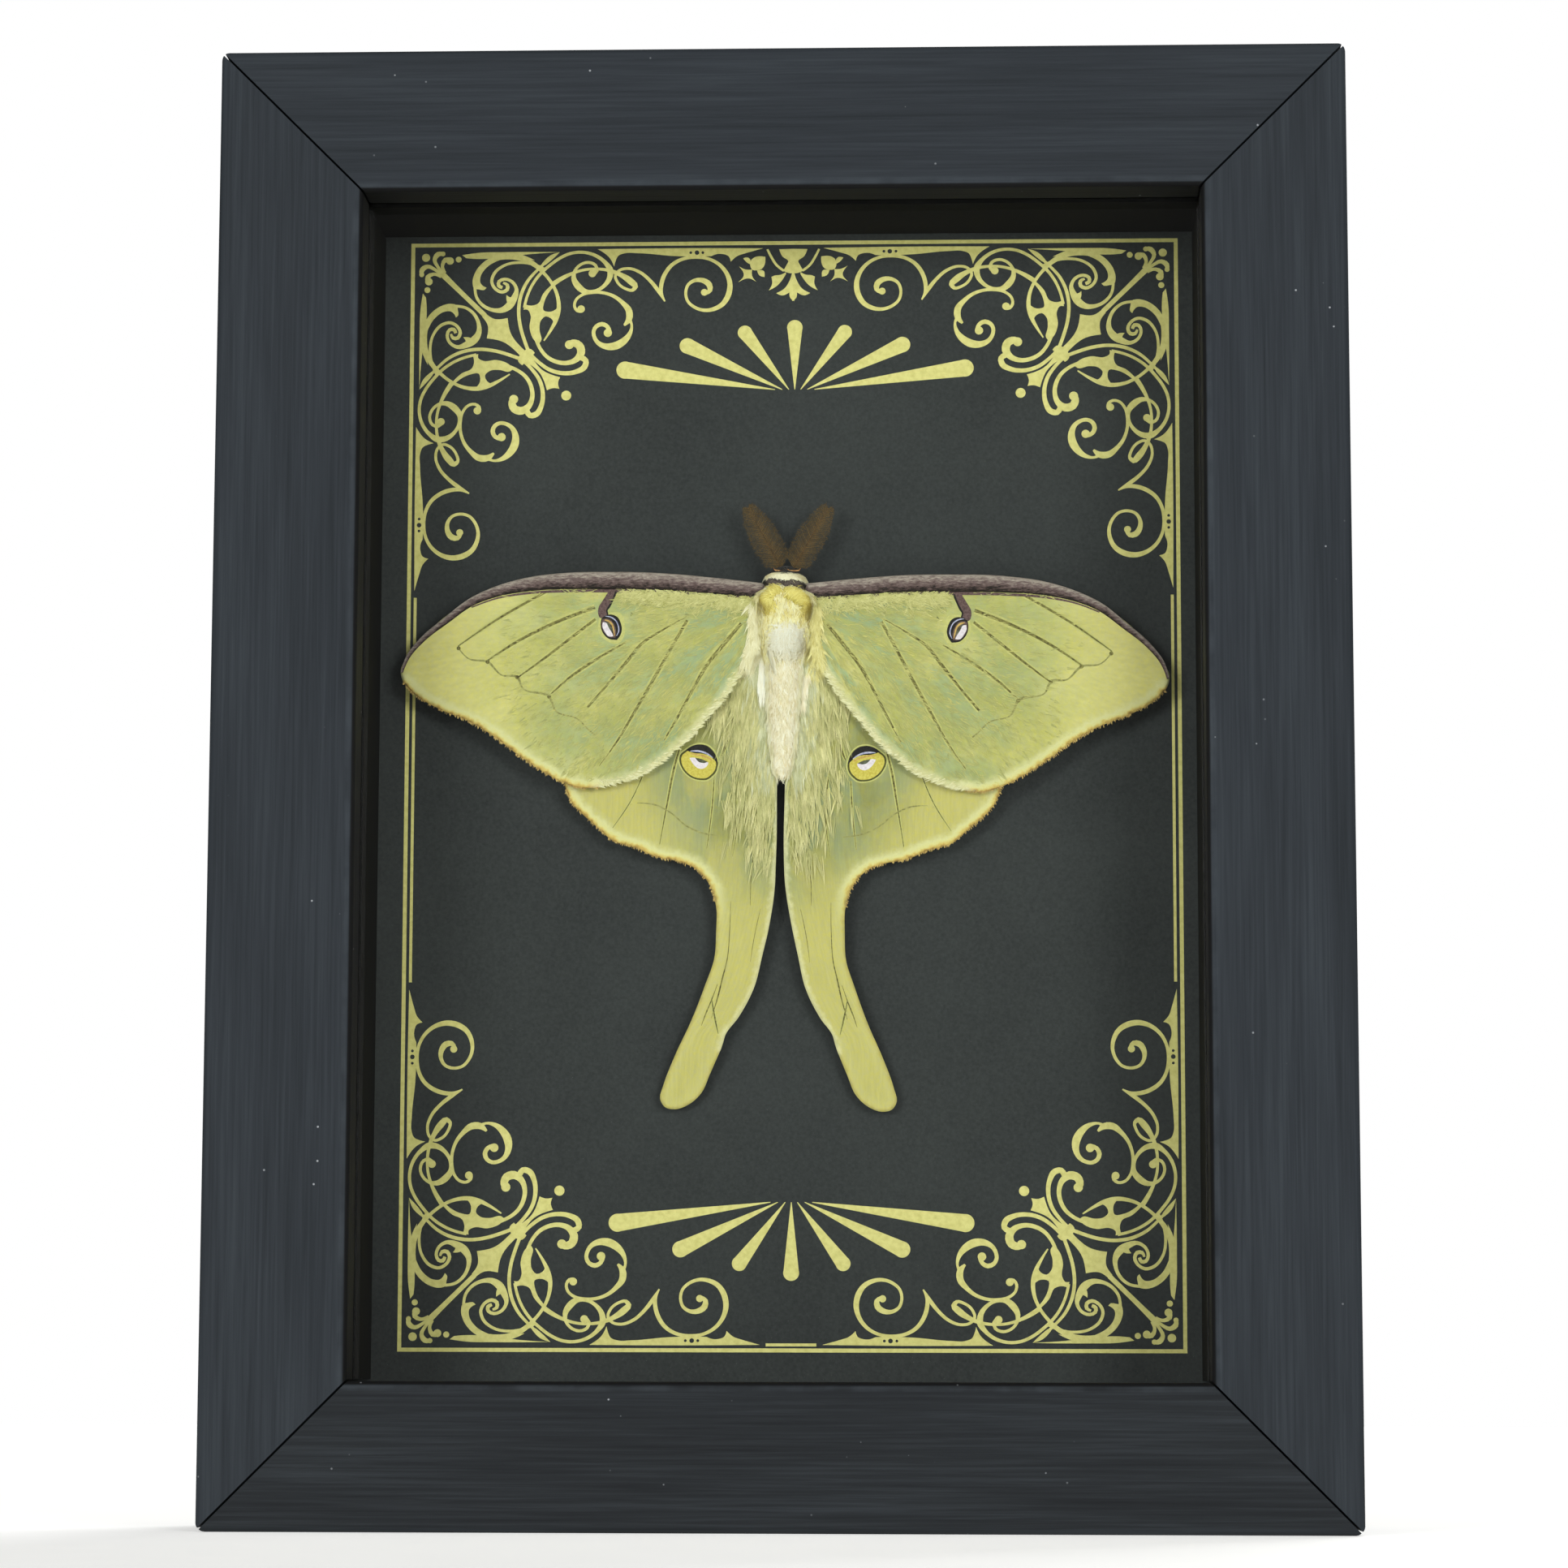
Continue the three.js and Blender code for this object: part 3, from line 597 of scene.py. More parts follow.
# Three dots of bare card lie in the long leaf, and so are laid down after the gold.
bare_dots = [disc(40.6, 1.62, 0.2), disc(41.5, 1.62, 0.33), disc(42.35, 1.62, 0.2)]
half_corner = [(scroll, GOLD) for scroll in half_scrolls] + [(dot, CARD) for dot in bare_dots]
print("figures in half a corner:", len(half_corner))

# %% The figures on the diagonal, the palmette and the florets
on_diagonal = [
    disc(2.15, 2.1, 0.6),
    disc(22.7, 22.6, 0.72),
    stroke([(4.3, 4.3, 0.9), (6.0, 6.0, 0.75), (10.8, 10.7, 0.7)]),
    leaf([(10.4, 10.9), (10.9, 10.4)], [(10.9, 10.4), (12.1, 11.2), (14.1, 11.1)],
         [(14.1, 11.1), (14.6, 13.4), (16.6, 15.9)],
          [(16.6, 15.9), (17.5, 15.7), (18.1, 16.3)], [(18.1, 16.3), (16.3, 18.1)],
         [(16.3, 18.1), (15.7, 17.5), (15.9, 16.6)],
          [(15.9, 16.6), (13.4, 14.6), (11.1, 14.1)], [(11.1, 14.1), (11.2, 12.1), (10.4, 10.9)]),
    leaf([(17.6, 16.8), (19.2, 18.8), (21.8, 19.9)], [(21.8, 19.9), (21.5, 20.7), (21.7, 21.6)],
         [(21.7, 21.6), (20.7, 21.5), (19.9, 21.8)],
          [(19.9, 21.8), (18.8, 19.2), (16.8, 17.6)], [(16.8, 17.6), (17.6, 16.8)]),
]

half_palmette = [
    leaf([(AXIS, 1.15), (53.4, 1.2)], [(53.4, 1.2), (53.9, 2.3), (54.75, 3.0), (54.5, 3.5), (54.0, 4.4)],
         [(54.0, 4.4), (54.9, 4.75), (AXIS, 4.75)], [(AXIS, 4.75), (AXIS, 1.15)]),
    stroke([(51.7, 1.2, 0.3), (52.3, 2.4, 0.35), (53.0, 3.5, 0.35), (54.1, 4.4, 0.35)]),
    leaf([(54.4, 4.6), (53.6, 5.0), (52.7, 5.1), (52.3, 5.3)], [(52.3, 5.3), (52.4, 6.3), (51.9, 7.3)],
         [(51.9, 7.3), (53.0, 6.7), (54.4, 4.9)], [(54.4, 4.9), (54.4, 4.6)]),
    leaf([(55.3, 4.7), (54.9, 5.9), (54.2, 7.0), (53.0, 7.7)], [(53.0, 7.7), (53.8, 8.05), (54.9, 7.6)],
         [(54.9, 7.6), (55.0, 8.4), (AXIS, 8.9)], [(AXIS, 8.9), (AXIS, 4.7)], [(AXIS, 4.7), (55.3, 4.7)]),
    leaf([(51.4, 2.3), (51.3, 3.5), (50.9, 4.1), (50.2, 4.3)], [(50.2, 4.3), (49.5, 4.2), (49.2, 3.5),
        (49.4, 2.7)], [(49.4, 2.7), (49.9, 2.35), (51.4, 2.3)]),
    leaf([(48.2, 2.5), (48.9, 2.4), (49.3, 2.9), (49.2, 3.4)], [(49.2, 3.4), (48.7, 3.1), (48.2, 2.5)]),
    leaf([(47.6, 3.7), (48.5, 4.15), (49.5, 4.2)], [(49.5, 4.2), (49.5, 5.1), (50.1, 6.0)],
         [(50.1, 6.0), (49.1, 5.5), (47.5, 6.05)], [(47.5, 6.05), (48.3, 5.0), (47.6, 3.7)]),
    leaf([(50.2, 4.3), (51.2, 4.4), (51.3, 5.3)], [(51.3, 5.3), (50.6, 5.1), (50.2, 4.3)]),
]


def changed(figures, change):
    """The same figures with every point put through change."""
    return [(change(np.array(outline)), finish) for outline, finish in figures]


def inked(outlines):
    """The outlines as figures in gold."""
    return [(outline, GOLD) for outline in outlines]


def mirror_in_diagonal(points):
    """The other half of a corner, with outward and downward exchanged."""
    return points[:, ::-1]


corner = half_corner + inked(on_diagonal) + changed(half_corner, mirror_in_diagonal)
printed = []
for flip_x in (False, True):
    for flip_y in (False, True):

        def placed(p, flip_x=flip_x, flip_y=flip_y):
            x = BORDER_WIDTH - p[:, 0] if flip_x else p[:, 0]
            y = BORDER_HEIGHT - p[:, 1] if flip_y else p[:, 1]
            return np.stack([BORDER_LEFT + x, BORDER_TOP - y], 1)

        printed += changed(corner, placed)
        if not flip_y:
            printed += changed(inked(half_palmette), placed)
print("figures in all:", len(printed))


# %% Border lines and fan rays
def bar(x0, y0, x1, y1, width):
    """A straight line of ink between two points of the border."""
    return stroke([(x0, y0, width), (x1, y1, width)], spacing=400)


def in_border(outlines):
    """Inks outlines that are given from the border's own corner, and moves them to the card."""
    return [(np.stack([BORDER_LEFT + p[:, 0], BORDER_TOP - p[:, 1]], 1), GOLD) for p in outlines]


LINE = 0.56  # mm
half = LINE / 2
straight = [
    bar(0, half, BORDER_WIDTH, half, LINE),
    bar(0, BORDER_HEIGHT - half, BORDER_WIDTH, BORDER_HEIGHT - half, LINE),
    bar(half, 0, half, BORDER_HEIGHT, LINE),
    bar(BORDER_WIDTH - half, 0, BORDER_WIDTH - half, BORDER_HEIGHT, LINE),
    bar(1.2, 52.1, 1.2, 107.5, INK),
    bar(BORDER_WIDTH - 1.2, 52.1, BORDER_WIDTH - 1.2, 107.5, INK),
    bar(51.9, BORDER_HEIGHT - 1.05, 59.0, BORDER_HEIGHT - 1.05, INK),
]
printed += in_border(straight)

# Seven slim rays open out above the moth, and seven below it. Their points stand in a
# row. Each ray is given as: how far its round end is to the side, how far down the
# border it is, its radius, and how far its point is to the side.
RAYS_TOP = [(24.5, 18.9, 1.27, 2.85), (15.5, 15.4, 1.15, 1.8), (7.2, 13.5, 1.05, 0.85),
            (0.0, 12.8, 1.12, 0.0)]
RAYS_BOTTOM = [(24.5, 141.5, 1.27, 2.95), (15.6, 145.2, 1.15, 1.9), (7.3, 147.2, 1.05, 0.85),
               (0.0, 148.5, 1.12, 0.0)]
rays = []
for fan, middle, row in ((RAYS_TOP, 55.7, 21.9), (RAYS_BOTTOM, 55.45, 138.6)):
    for reach, down, radius, point in fan:
        for hand in (-1, 1) if reach else (1,):
            end = middle + hand * reach
            rays.append(stroke([(middle + hand * point, row, 0.1), (end, down, radius * 1.96)], spacing=2.0))
            rays.append(disc(end, down, radius, 28))
printed += in_border(rays)
print("figures with lines and rays:", len(printed))

# %% Black card and gold ink
card_board, tree, shader = new_material("black mounting board, felt-faced")
place = add(tree, "ShaderNodeTexCoord").outputs["Object"]
TOOTH = 0.45  # mm, the felt marks of the paper mill
felt = add(tree, "ShaderNodeTexNoise", {
    "Vector": place, "Scale": per_mm(TOOTH), "Detail": 4.0, "Roughness": 0.6})
cloud = add(tree, "ShaderNodeTexNoise", {"Vector": place, "Scale": per_mm(18.0), "Detail": 3.0})
blend = add(tree, "ShaderNodeMix", {
    0: 0.35, 2: felt.outputs["Fac"], 3: cloud.outputs["Fac"]}, data_type="FLOAT")
black = add(tree, "ShaderNodeValToRGB", {"Fac": blend.outputs[0]}, ramp=((0.3, "#282A2A"), (0.7, "#3A3D3C")))
tree.links.new(black.outputs["Color"], shader.inputs["Base Color"])
relief = add(tree, "ShaderNodeBump", {
    "Strength": 0.35, "Distance": 0.06 * MM, "Height": felt.outputs["Fac"]})
tree.links.new(relief.outputs[0], shader.inputs["Normal"])
shader.inputs["Roughness"].default_value = 0.85
shader.inputs["Specular IOR Level"].default_value = 0.3

gold_ink, tree, shader = new_material("gold printing ink, matt")
place = add(tree, "ShaderNodeTexCoord").outputs["Object"]
lay = add(tree, "ShaderNodeTexNoise", {"Vector": place, "Scale": per_mm(0.8), "Detail": 4.0})
ink = add(tree, "ShaderNodeValToRGB", {"Fac": lay.outputs["Fac"]}, ramp=((0.3, "#D1C66F"), (0.6, "#E2D884")))
tree.links.new(ink.outputs["Color"], shader.inputs["Base Color"])
relief = add(tree, "ShaderNodeBump", {"Strength": 0.2, "Distance": 0.04 * MM, "Height": lay.outputs["Fac"]})
tree.links.new(relief.outputs[0], shader.inputs["Normal"])
shader.inputs["Roughness"].default_value = 0.55

# %% Cut the card along its print
card_low, card_high = (Vector(corner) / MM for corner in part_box("printed_card"))
card_edge = np.array([(card_low.x, card_low.z), (card_high.x, card_low.z), (card_high.x, card_high.z),
                      (card_low.x, card_high.z)])
flat, triangles, finishes = inlay(card_edge, printed)
front = [(x, card_low.y, z) for x, z in flat]
back_corners = [(x, card_high.y, z) for x, z in card_edge]
corner_ids = [int(np.argmin(np.hypot(*(flat - c).T))) for c in card_edge]
back_ids = [len(front) + i for i in range(4)]
sides = [(corner_ids[i], back_ids[i], back_ids[(i + 1) % 4], corner_ids[(i + 1) % 4]) for i in range(4)]
card_faces = triangles + sides + [tuple(reversed(back_ids))]
card_finishes = finishes + [CARD] * 5
card_piece = make_piece("printed_card_front", front + back_corners, card_faces, [card_board, gold_ink],
                        card_finishes, smooth=False)
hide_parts("printed_card")
print("card faces:", len(card_faces), "gold:", sum(card_finishes))

# %% [markdown]
# ## The glass
#
# Two millimetres of clear float glass. A full glass shader would have to bend light
# through both faces, and would cast a dark shadow on the card without many samples.
# Here the pane lets light straight through and adds only the mirror image that its
# faces give, which grows towards a grazing view. That is the Fresnel node's job. Two
# traps are avoided. From inside the pane the node finds total reflection, though here
# no ray was bent, so only the side that faces the viewer mirrors, for both. And lamp
# light passes whole, so that the frame's inside isn't dimmed.

# %% Glass
pane = bpy.data.materials.new("float glass, clear")
pane.use_nodes = True
tree = pane.node_tree
tree.nodes.remove(tree.nodes["Principled BSDF"])
GLASS_IOR = 1.52
BOTH_FACES = 1.9  # the second face mirrors nearly as much as the first
fresnel = add(tree, "ShaderNodeFresnel", {"IOR": GLASS_IOR})
facing = add(tree, "ShaderNodeNewGeometry")
outer = add(tree, "ShaderNodeMath", {0: 1.0, 1: facing.outputs["Backfacing"]}, operation="SUBTRACT")
twice = add(tree, "ShaderNodeMath", {0: fresnel.outputs[0], 1: BOTH_FACES}, operation="MULTIPLY")
mirror_share = add(tree, "ShaderNodeMath", {
    0: twice.outputs[0], 1: outer.outputs[0]}, operation="MULTIPLY", use_clamp=True)
clear = add(tree, "ShaderNodeBsdfTransparent", {"Color": srgb("#FBFDFC")})
mirror = add(tree, "ShaderNodeBsdfGlossy", {"Color": (1, 1, 1, 1), "Roughness": 0.02})
mixed = add(tree, "ShaderNodeMixShader", {
    0: mirror_share.outputs[0], 1: clear.outputs[0], 2: mirror.outputs[0]})
path = add(tree, "ShaderNodeLightPath")
lit = add(tree, "ShaderNodeMixShader", {
    0: path.outputs["Is Shadow Ray"], 1: mixed.outputs[0], 2: clear.outputs[0]})
tree.links.new(lit.outputs[0], tree.nodes["Material Output"].inputs["Surface"])
dress("glass_pane", pane)

# %% [markdown]
# ## The wings: outlines
#
# A wing is a thin, dry membrane covered with scales. Both sides of the moth are one
# drawing and its mirror image, measured in millimetres outward and upward from the
# middle of the body. The sheet is cut along its markings like the card, then lifted
# off the card: it droops a little toward its edge, and each vein stands up as a low
# ridge. A Solidify modifier gives it the thickness of stiff paper.

# %% Where the moth lies
MOTH_X, MOTH_Z = -0.2, 127.0
LEAN = math.radians(0.68)
CARD_FACE = card_low.y


def on_card(points):
    """Turns moth points (outward, upward, height above the card) into frame millimetres."""
    p = np.array(points, float)
    x = MOTH_X + p[..., 0] * math.cos(LEAN) + p[..., 1] * math.sin(LEAN)
    z = MOTH_Z - p[..., 0] * math.sin(LEAN) + p[..., 1] * math.cos(LEAN)
    return np.stack([x, CARD_FACE - p[..., 2], z], -1)


def hold_number(piece, name, values):
    """Keeps one number for each point of a mesh, for its material to read."""
    held = piece.data.attributes.new(name, "FLOAT", "POINT")
    held.data.foreach_set("value", np.asarray(values, np.float32))


# %% Outlines of the wings
fore_front = [(0.5, 5.2), (4.4, 5.8), (8.6, 6.3), (13.4, 6.9), (18.1, 7.1), (24, 7.2), (30, 7.1), (36, 6.5),
              (40.5, 5.4),
              (44.5, 3.6), (48, 1.2), (51.4, -1.9), (53.7, -4.8), (54.7, -7.2), (54.2, -8.8)]
fore_margin = [(54.2, -8.8), (52.5, -10.5), (49, -12.5), (44.2, -14.5), (40.8, -16.6), (37.5, -19.1),
               (34, -21.4), (31.4, -22.8), (28.5, -23.7), (26, -23.6)]
fore_inner = [(26, -23.6), (22.5, -22.7), (19.2, -21.3), (15.3, -18.3), (13.2, -16.4), (10.8, -13.5),
              (8.3, -10.6), (6, -7.1), (4.5, -4.2), (3.7, -1.8), (1.5, 1.5)]
hind_front = [(1.5, 1.0), (11, -4), (21, -11), (28.5, -18.5), (31, -23.0)]
hind_margin = [(31, -23.0), (29.9, -25.6), (28.2, -27.4), (26, -29.3), (24.3, -30.8), (20.7, -32),
               (17.6, -33.3), (14.5, -33.9), (12, -35),
               (10.1, -37.2), (9.2, -40), (9.1, -44), (9.3, -47.5), (10.6, -51.5), (12.6, -56.8),
               (14.6, -61.2), (16.3, -65.7), (16.7, -67.4),
               (16.0, -68.6), (14.6, -68.9), (12.8, -68.3), (10.9, -66.6), (9.7, -63.9), (8.2, -60.4)]
hind_inner = [(8.2, -60.4), (7.9, -59.5), (7.6, -58.4), (5.8, -55.9), (3.65, -51.7), (2.5, -47), (1.4, -42),
              (0.6, -37.3), (0.3, -31.5),
              (0.35, -24), (0.45, -15), (0.6, -8), (0.8, -3), (1.5, 1.0)]
fore_edge = leaf(fore_front, fore_margin, fore_inner, [(1.5, 1.5), (0.5, 5.2)], spacing=0.5)
hind_edge = leaf(hind_front, hind_margin, hind_inner, spacing=0.5)
print("outline points:", len(fore_edge), len(hind_edge))

# %% [markdown]
# ## The wings: markings
#
# Veins are drawn as tapering strokes. A wavy line crosses the forewing, and each wing
# has an eyespot: on the forewing a tilted almond on a stalk from the wing's front
# edge, on the hindwing a round yellow spot with a black lid. The figures are laid down
# from the back to the front, as a painter would.

# %% Veins and the wavy line
WING, VEIN, LINE_MARK, HALO, STALK, JET, SKY, OCHRE, PUPIL, MILK, YOLK, RING = range(12)

fore_veins = [
    [(33.9, 4.5, 0.28), (40.3, 0.8, 0.26), (46.5, -3.5, 0.1)],
    [(27.0, 2.2, 0.38), (33.2, -0.3, 0.36), (38.2, -2.9, 0.3), (42.4, -5.7, 0.16)],
    [(26.9, 0.5, 0.3), (31.3, -3.0, 0.3), (34.2, -5.3, 0.26), (37.7, -7.9, 0.16)],
    [(22.6, -2.9, 0.16), (27.7, -6.0, 0.3), (30.6, -8.1, 0.26), (33.2, -10.5, 0.16)],
    [(13.9, 0.9, 0.12), (17.2, -1.0, 0.2), (20.2, -3.0, 0.32), (22.3, -5.6, 0.36), (25.2, -9.2, 0.26),
     (27.8, -12.2, 0.28)],
    [(13.8, 0.4, 0.3), (16.0, -3.6, 0.34), (18.6, -8.4, 0.34), (21.0, -12.7, 0.3), (23.6, -17.2, 0.2),
     (26.0, -20.6, 0.08)],
    [(6.1, 0.0, 0.36), (8.2, -2.6, 0.42), (10.6, -5.6, 0.4), (13.0, -9.8, 0.3), (15.0, -13.6, 0.26),
     (16.8, -16.8, 0.12)],
]
wavy_line = [(46.4, -3.8, 0.16), (44.9, -5.3, 0.2), (42.2, -5.75, 0.34), (40.1, -7.65, 0.22),
             (37.9, -7.9, 0.38), (37.1, -9.5, 0.22), (33.3, -10.7, 0.4), (32.3, -12.75, 0.22),
             (29.1, -13.9, 0.2), (27.6, -15.4, 0.2), (26.7, -16.1, 0.24)]
hind_veins = [
    [(14.6, -17.5, 0.16), (15.4, -20.5, 0.24), (16.2, -25.0, 0.2), (17.3, -31.5, 0.08)],
    [(9.7, -22.2, 0.14), (10.0, -27.0, 0.16), (10.6, -32.0, 0.08)],
    [(6.6, -21.0, 0.12), (6.2, -27.0, 0.14), (6.9, -33.0, 0.06)],
    [(19.4, -20.5, 0.1), (21.6, -25.5, 0.12), (24.0, -29.2, 0.05)],
    [(7.2, -11.0, 0.22), (7.4, -14.6, 0.3), (7.9, -16.6, 0.34), (8.9, -19.2, 0.14)],
    [(9.6, -53.2, 0.08), (9.2, -55.5, 0.2), (8.6, -58.2, 0.08)],
]
tail_creases = [
    [(4.0, -28.5, 0.06), (3.9, -32.5, 0.13), (4.2, -36.0, 0.13), (4.3, -40.0, 0.05)],
    [(7.1, -39.5, 0.05), (7.2, -44.0, 0.11), (7.5, -47.8, 0.14), (8.1, -50.3, 0.2), (8.7, -52.9, 0.2),
     (9.6, -56.0, 0.06)],
    [(8.8, -51.2, 0.06), (9.7, -53.7, 0.16), (10.4, -55.4, 0.18), (11.0, -57.1, 0.05)],
    [(2.8, -40.5, 0.05), (3.6, -44.0, 0.1), (4.2, -48.0, 0.04)],
]
hind_line = [(8.6, -30.2, 0.1), (11.6, -29.7, 0.22), (13.4, -28.9, 0.22), (15.9, -26.9, 0.2),
             (17.9, -25.9, 0.22), (20.6, -25.6, 0.1)]


# %% Eyespots
def about(centre, *runs):
    """A sharp-cornered figure whose points are given in millimetres from a centre."""
    return leaf(*[[(centre[0] + x, centre[1] + y) for x, y in run] for run in runs], spacing=0.15)


def line_about(centre, points):
    """A stroke whose points are given in millimetres from a centre."""
    return stroke([(centre[0] + x, centre[1] + y, w) for x, y, w in points], spacing=0.15)


def oval(centre, points):
    """A closed smooth figure about a centre."""
    return through([(centre[0] + x, centre[1] + y) for x, y in points], 0.15, closed=True)


ALMOND = (24.4, -0.4)
fore_spot = [
    (oval(ALMOND, [(-1.6, 0.6), (-1.1, 1.75), (0.2, 1.9), (1.6, 1.6), (2.1, 0.2), (1.9, -1.2), (0.9, -2.2),
                   (-0.9, -2.6), (-1.6, -1.6)]), HALO),
    (about(ALMOND, [(0.8, 4.8), (1.55, 3.6), (2.1, 2.6), (2.15, 1.7), (1.85, 1.1), (1.3, 1.0)],
           [(1.3, 1.0), (0.6, 1.4), (0.95, 2.0), (0.85, 2.5), (0.2, 3.3), (-0.5, 4.8)],
           [(-0.5, 4.8), (0.8, 4.8)]), STALK),
    (line_about(ALMOND, [(-0.35, 4.9, 0.3), (0.15, 3.6, 0.26), (0.6, 2.7, 0.3), (0.9, 2.2, 0.24),
                         (0.75, 1.6, 0.22)]), JET),
    (about(ALMOND, [(0.9, 1.55), (0.0, 1.55), (-0.65, 1.2), (-1.1, 0.4), (-1.3, -0.6), (-1.1, -1.4),
                    (-0.6, -2.1)], [(-0.6, -2.1), (0.6, -1.9), (1.5, -0.9), (1.75, 0.4), (1.6, 1.1)],
           [(1.6, 1.1), (0.9, 1.55)]), JET),
    (line_about(ALMOND, [(1.1, 1.35, 0.08), (0.3, 1.2, 0.18), (-0.35, 0.75, 0.16), (-0.75, 0.0, 0.16),
                         (-0.85, -0.8, 0.18), (-0.55, -1.5, 0.08)]), SKY),
    (about(ALMOND, [(1.5, 0.95), (0.5, 0.9), (-0.1, 0.3), (-0.45, -0.6), (-0.4, -1.75)],
           [(-0.4, -1.75), (0.4, -1.7), (1.3, -0.9), (1.65, 0.2), (1.5, 0.95)]), STALK),
    (line_about(ALMOND, [(1.2, 0.8, 0.14), (0.6, 0.62, 0.26), (0.1, 0.1, 0.24), (-0.12, -0.6, 0.2),
                         (-0.28, -1.5, 0.1)]), OCHRE),
    (about(ALMOND, [(1.2, 0.62), (0.5, 0.3), (0.15, -0.3), (-0.05, -1.2)],
           [(-0.05, -1.2), (0.4, -0.6), (0.9, 0.1), (1.2, 0.62)]), PUPIL),
    (about(ALMOND, [(1.45, 0.45), (1.0, 0.4), (0.6, -0.3), (0.1, -1.1), (-0.1, -1.55)],
           [(-0.1, -1.55), (0.5, -1.6), (1.15, -0.9), (1.5, 0.0), (1.45, 0.45)]), MILK),
]

ROUND = (11.95, -19.75)
round_edge = [(-0.1, 2.62), (-1.2, 2.4), (-2.05, 1.7), (-2.6, 0.6), (-2.75, -0.4), (-2.5, -1.3),
              (-1.9, -2.0), (-1.3, -2.42), (-0.3, -2.5),
              (0.8, -2.25), (1.7, -1.65), (2.4, -0.75), (2.75, 0.2), (2.65, 1.05), (1.9, 1.75), (1.1, 2.3)]
hind_spot = [
    (oval(ROUND, [(x * 1.07, y * 1.08) for x, y in round_edge]), HALO),
    (oval(ROUND, round_edge), RING),
    (oval(ROUND, [(x * 0.9, y * 0.9) for x, y in round_edge]), YOLK),
    (about(ROUND, [(1.8, 1.75), (1.1, 2.3), (-0.1, 2.55), (-1.2, 2.3), (-2.0, 1.6), (-2.5, 0.7),
                   (-2.7, -0.1)], [(-2.7, -0.1), (-2.2, 0.4), (-1.6, 0.95), (-0.6, 1.25), (0.6, 1.35),
                                   (1.8, 1.75)]), JET),
    (line_about(ROUND, [(1.2, 1.62, 0.1), (0.3, 1.65, 0.26), (-0.6, 1.5, 0.26), (-1.3, 1.2, 0.22),
                        (-2.0, 0.7, 0.1)]), SKY),
    (line_about(ROUND, [(1.15, 1.25, 0.12), (0.2, 1.1, 0.26), (-0.9, 0.85, 0.28), (-1.9, 0.35, 0.16)]),
     OCHRE),
    (about(ROUND, [(1.3, 0.65), (0.6, 0.7), (-0.4, 0.35), (-1.4, 0.0)],
           [(-1.4, 0.0), (-1.2, -0.5), (-0.5, -0.9), (0.1, -0.8), (0.7, -0.3), (1.3, 0.65)]), MILK),
    (about(ROUND, [(0.5, 0.68), (-0.4, 0.5), (-1.3, 0.1)], [(-1.3, 0.1), (-0.7, -0.06), (-0.1, 0.05),
        (0.5, 0.68)]), PUPIL),
]


def wider(line, times):
    """The same line with all its widths multiplied."""
    return [(x, y, width * times) for x, y, width in line]


# A dark line runs behind the costa, and each vein lies between two pale yellow banks.
behind_front = [(4.6, 3.72, 0.4), (10.0, 3.98, 0.46), (18.0, 4.5, 0.42), (24.0, 4.6, 0.46),
                (31.4, 4.55, 0.4), (37.0, 4.2, 0.34), (41.0, 3.5, 0.26), (44.7, 2.15, 0.2)]
line_dots = [disc(x, y, 0.3, 10) for x, y in ((46.4, -3.8), (42.2, -5.75), (37.9, -7.95), (33.3, -10.7))]
fore_figures = [(stroke(wider(v, 2.8)), HALO) for v in fore_veins] + [(stroke(wider(v, 1.25)),
        VEIN) for v in fore_veins]
fore_figures += [(stroke(behind_front), STALK), (stroke(wavy_line), LINE_MARK)] + [(dot,
        VEIN) for dot in line_dots] + fore_spot
hind_figures = [(stroke(wider(v, 2.6)), HALO) for v in hind_veins] + [(stroke(wider(v, 1.2)),
        VEIN) for v in hind_veins]
hind_figures += [(stroke(hind_line), LINE_MARK)] + [(stroke(crease),
        VEIN) for crease in tail_creases] + hind_spot
print("markings on a forewing:", len(fore_figures), "on a hindwing:", len(hind_figures))

# %% [markdown]
# ## The wings: scales
#
# The colour of a wing comes from its scales, tiny flat plates like roof tiles. They are
# far finer than the render can show, so they become a soft mottle that is drawn a few
# tenths of a millimetre coarse. The green membrane has bluish clouds, goes pale near
# its edge and ends in an ochre rim with a brown border. Each marking is the same scale
# cover in its own two colours. Scales are matt, with a faint silky sheen.


# %% Scale finishes
STREAK_WIDTH = 0.32  # mm, about six rows of scales, as one row would not show


def scale_cover(name, dark, light, grain_mm=0.3):
    """Matt moth scales in one marking: two close colours in a fine mottle."""
    material, tree, shader = new_material(name)
    place = add(tree, "ShaderNodeTexCoord").outputs["Object"]
    mottle = add(tree, "ShaderNodeTexNoise", {
        "Vector": place, "Scale": per_mm(grain_mm), "Detail": 4.0, "Roughness": 0.6})
    tint = add(tree, "ShaderNodeValToRGB", {
        "Fac": mottle.outputs["Fac"]}, ramp=((0.35, dark), (0.65, light)))
    tree.links.new(tint.outputs["Color"], shader.inputs["Base Color"])
    relief = add(tree, "ShaderNodeBump", {
        "Strength": 0.3, "Distance": 0.03 * MM, "Height": mottle.outputs["Fac"]})
    tree.links.new(relief.outputs[0], shader.inputs["Normal"])
    shader.inputs["Roughness"].default_value = 0.75
    shader.inputs["Specular IOR Level"].default_value = 0.25
    return material


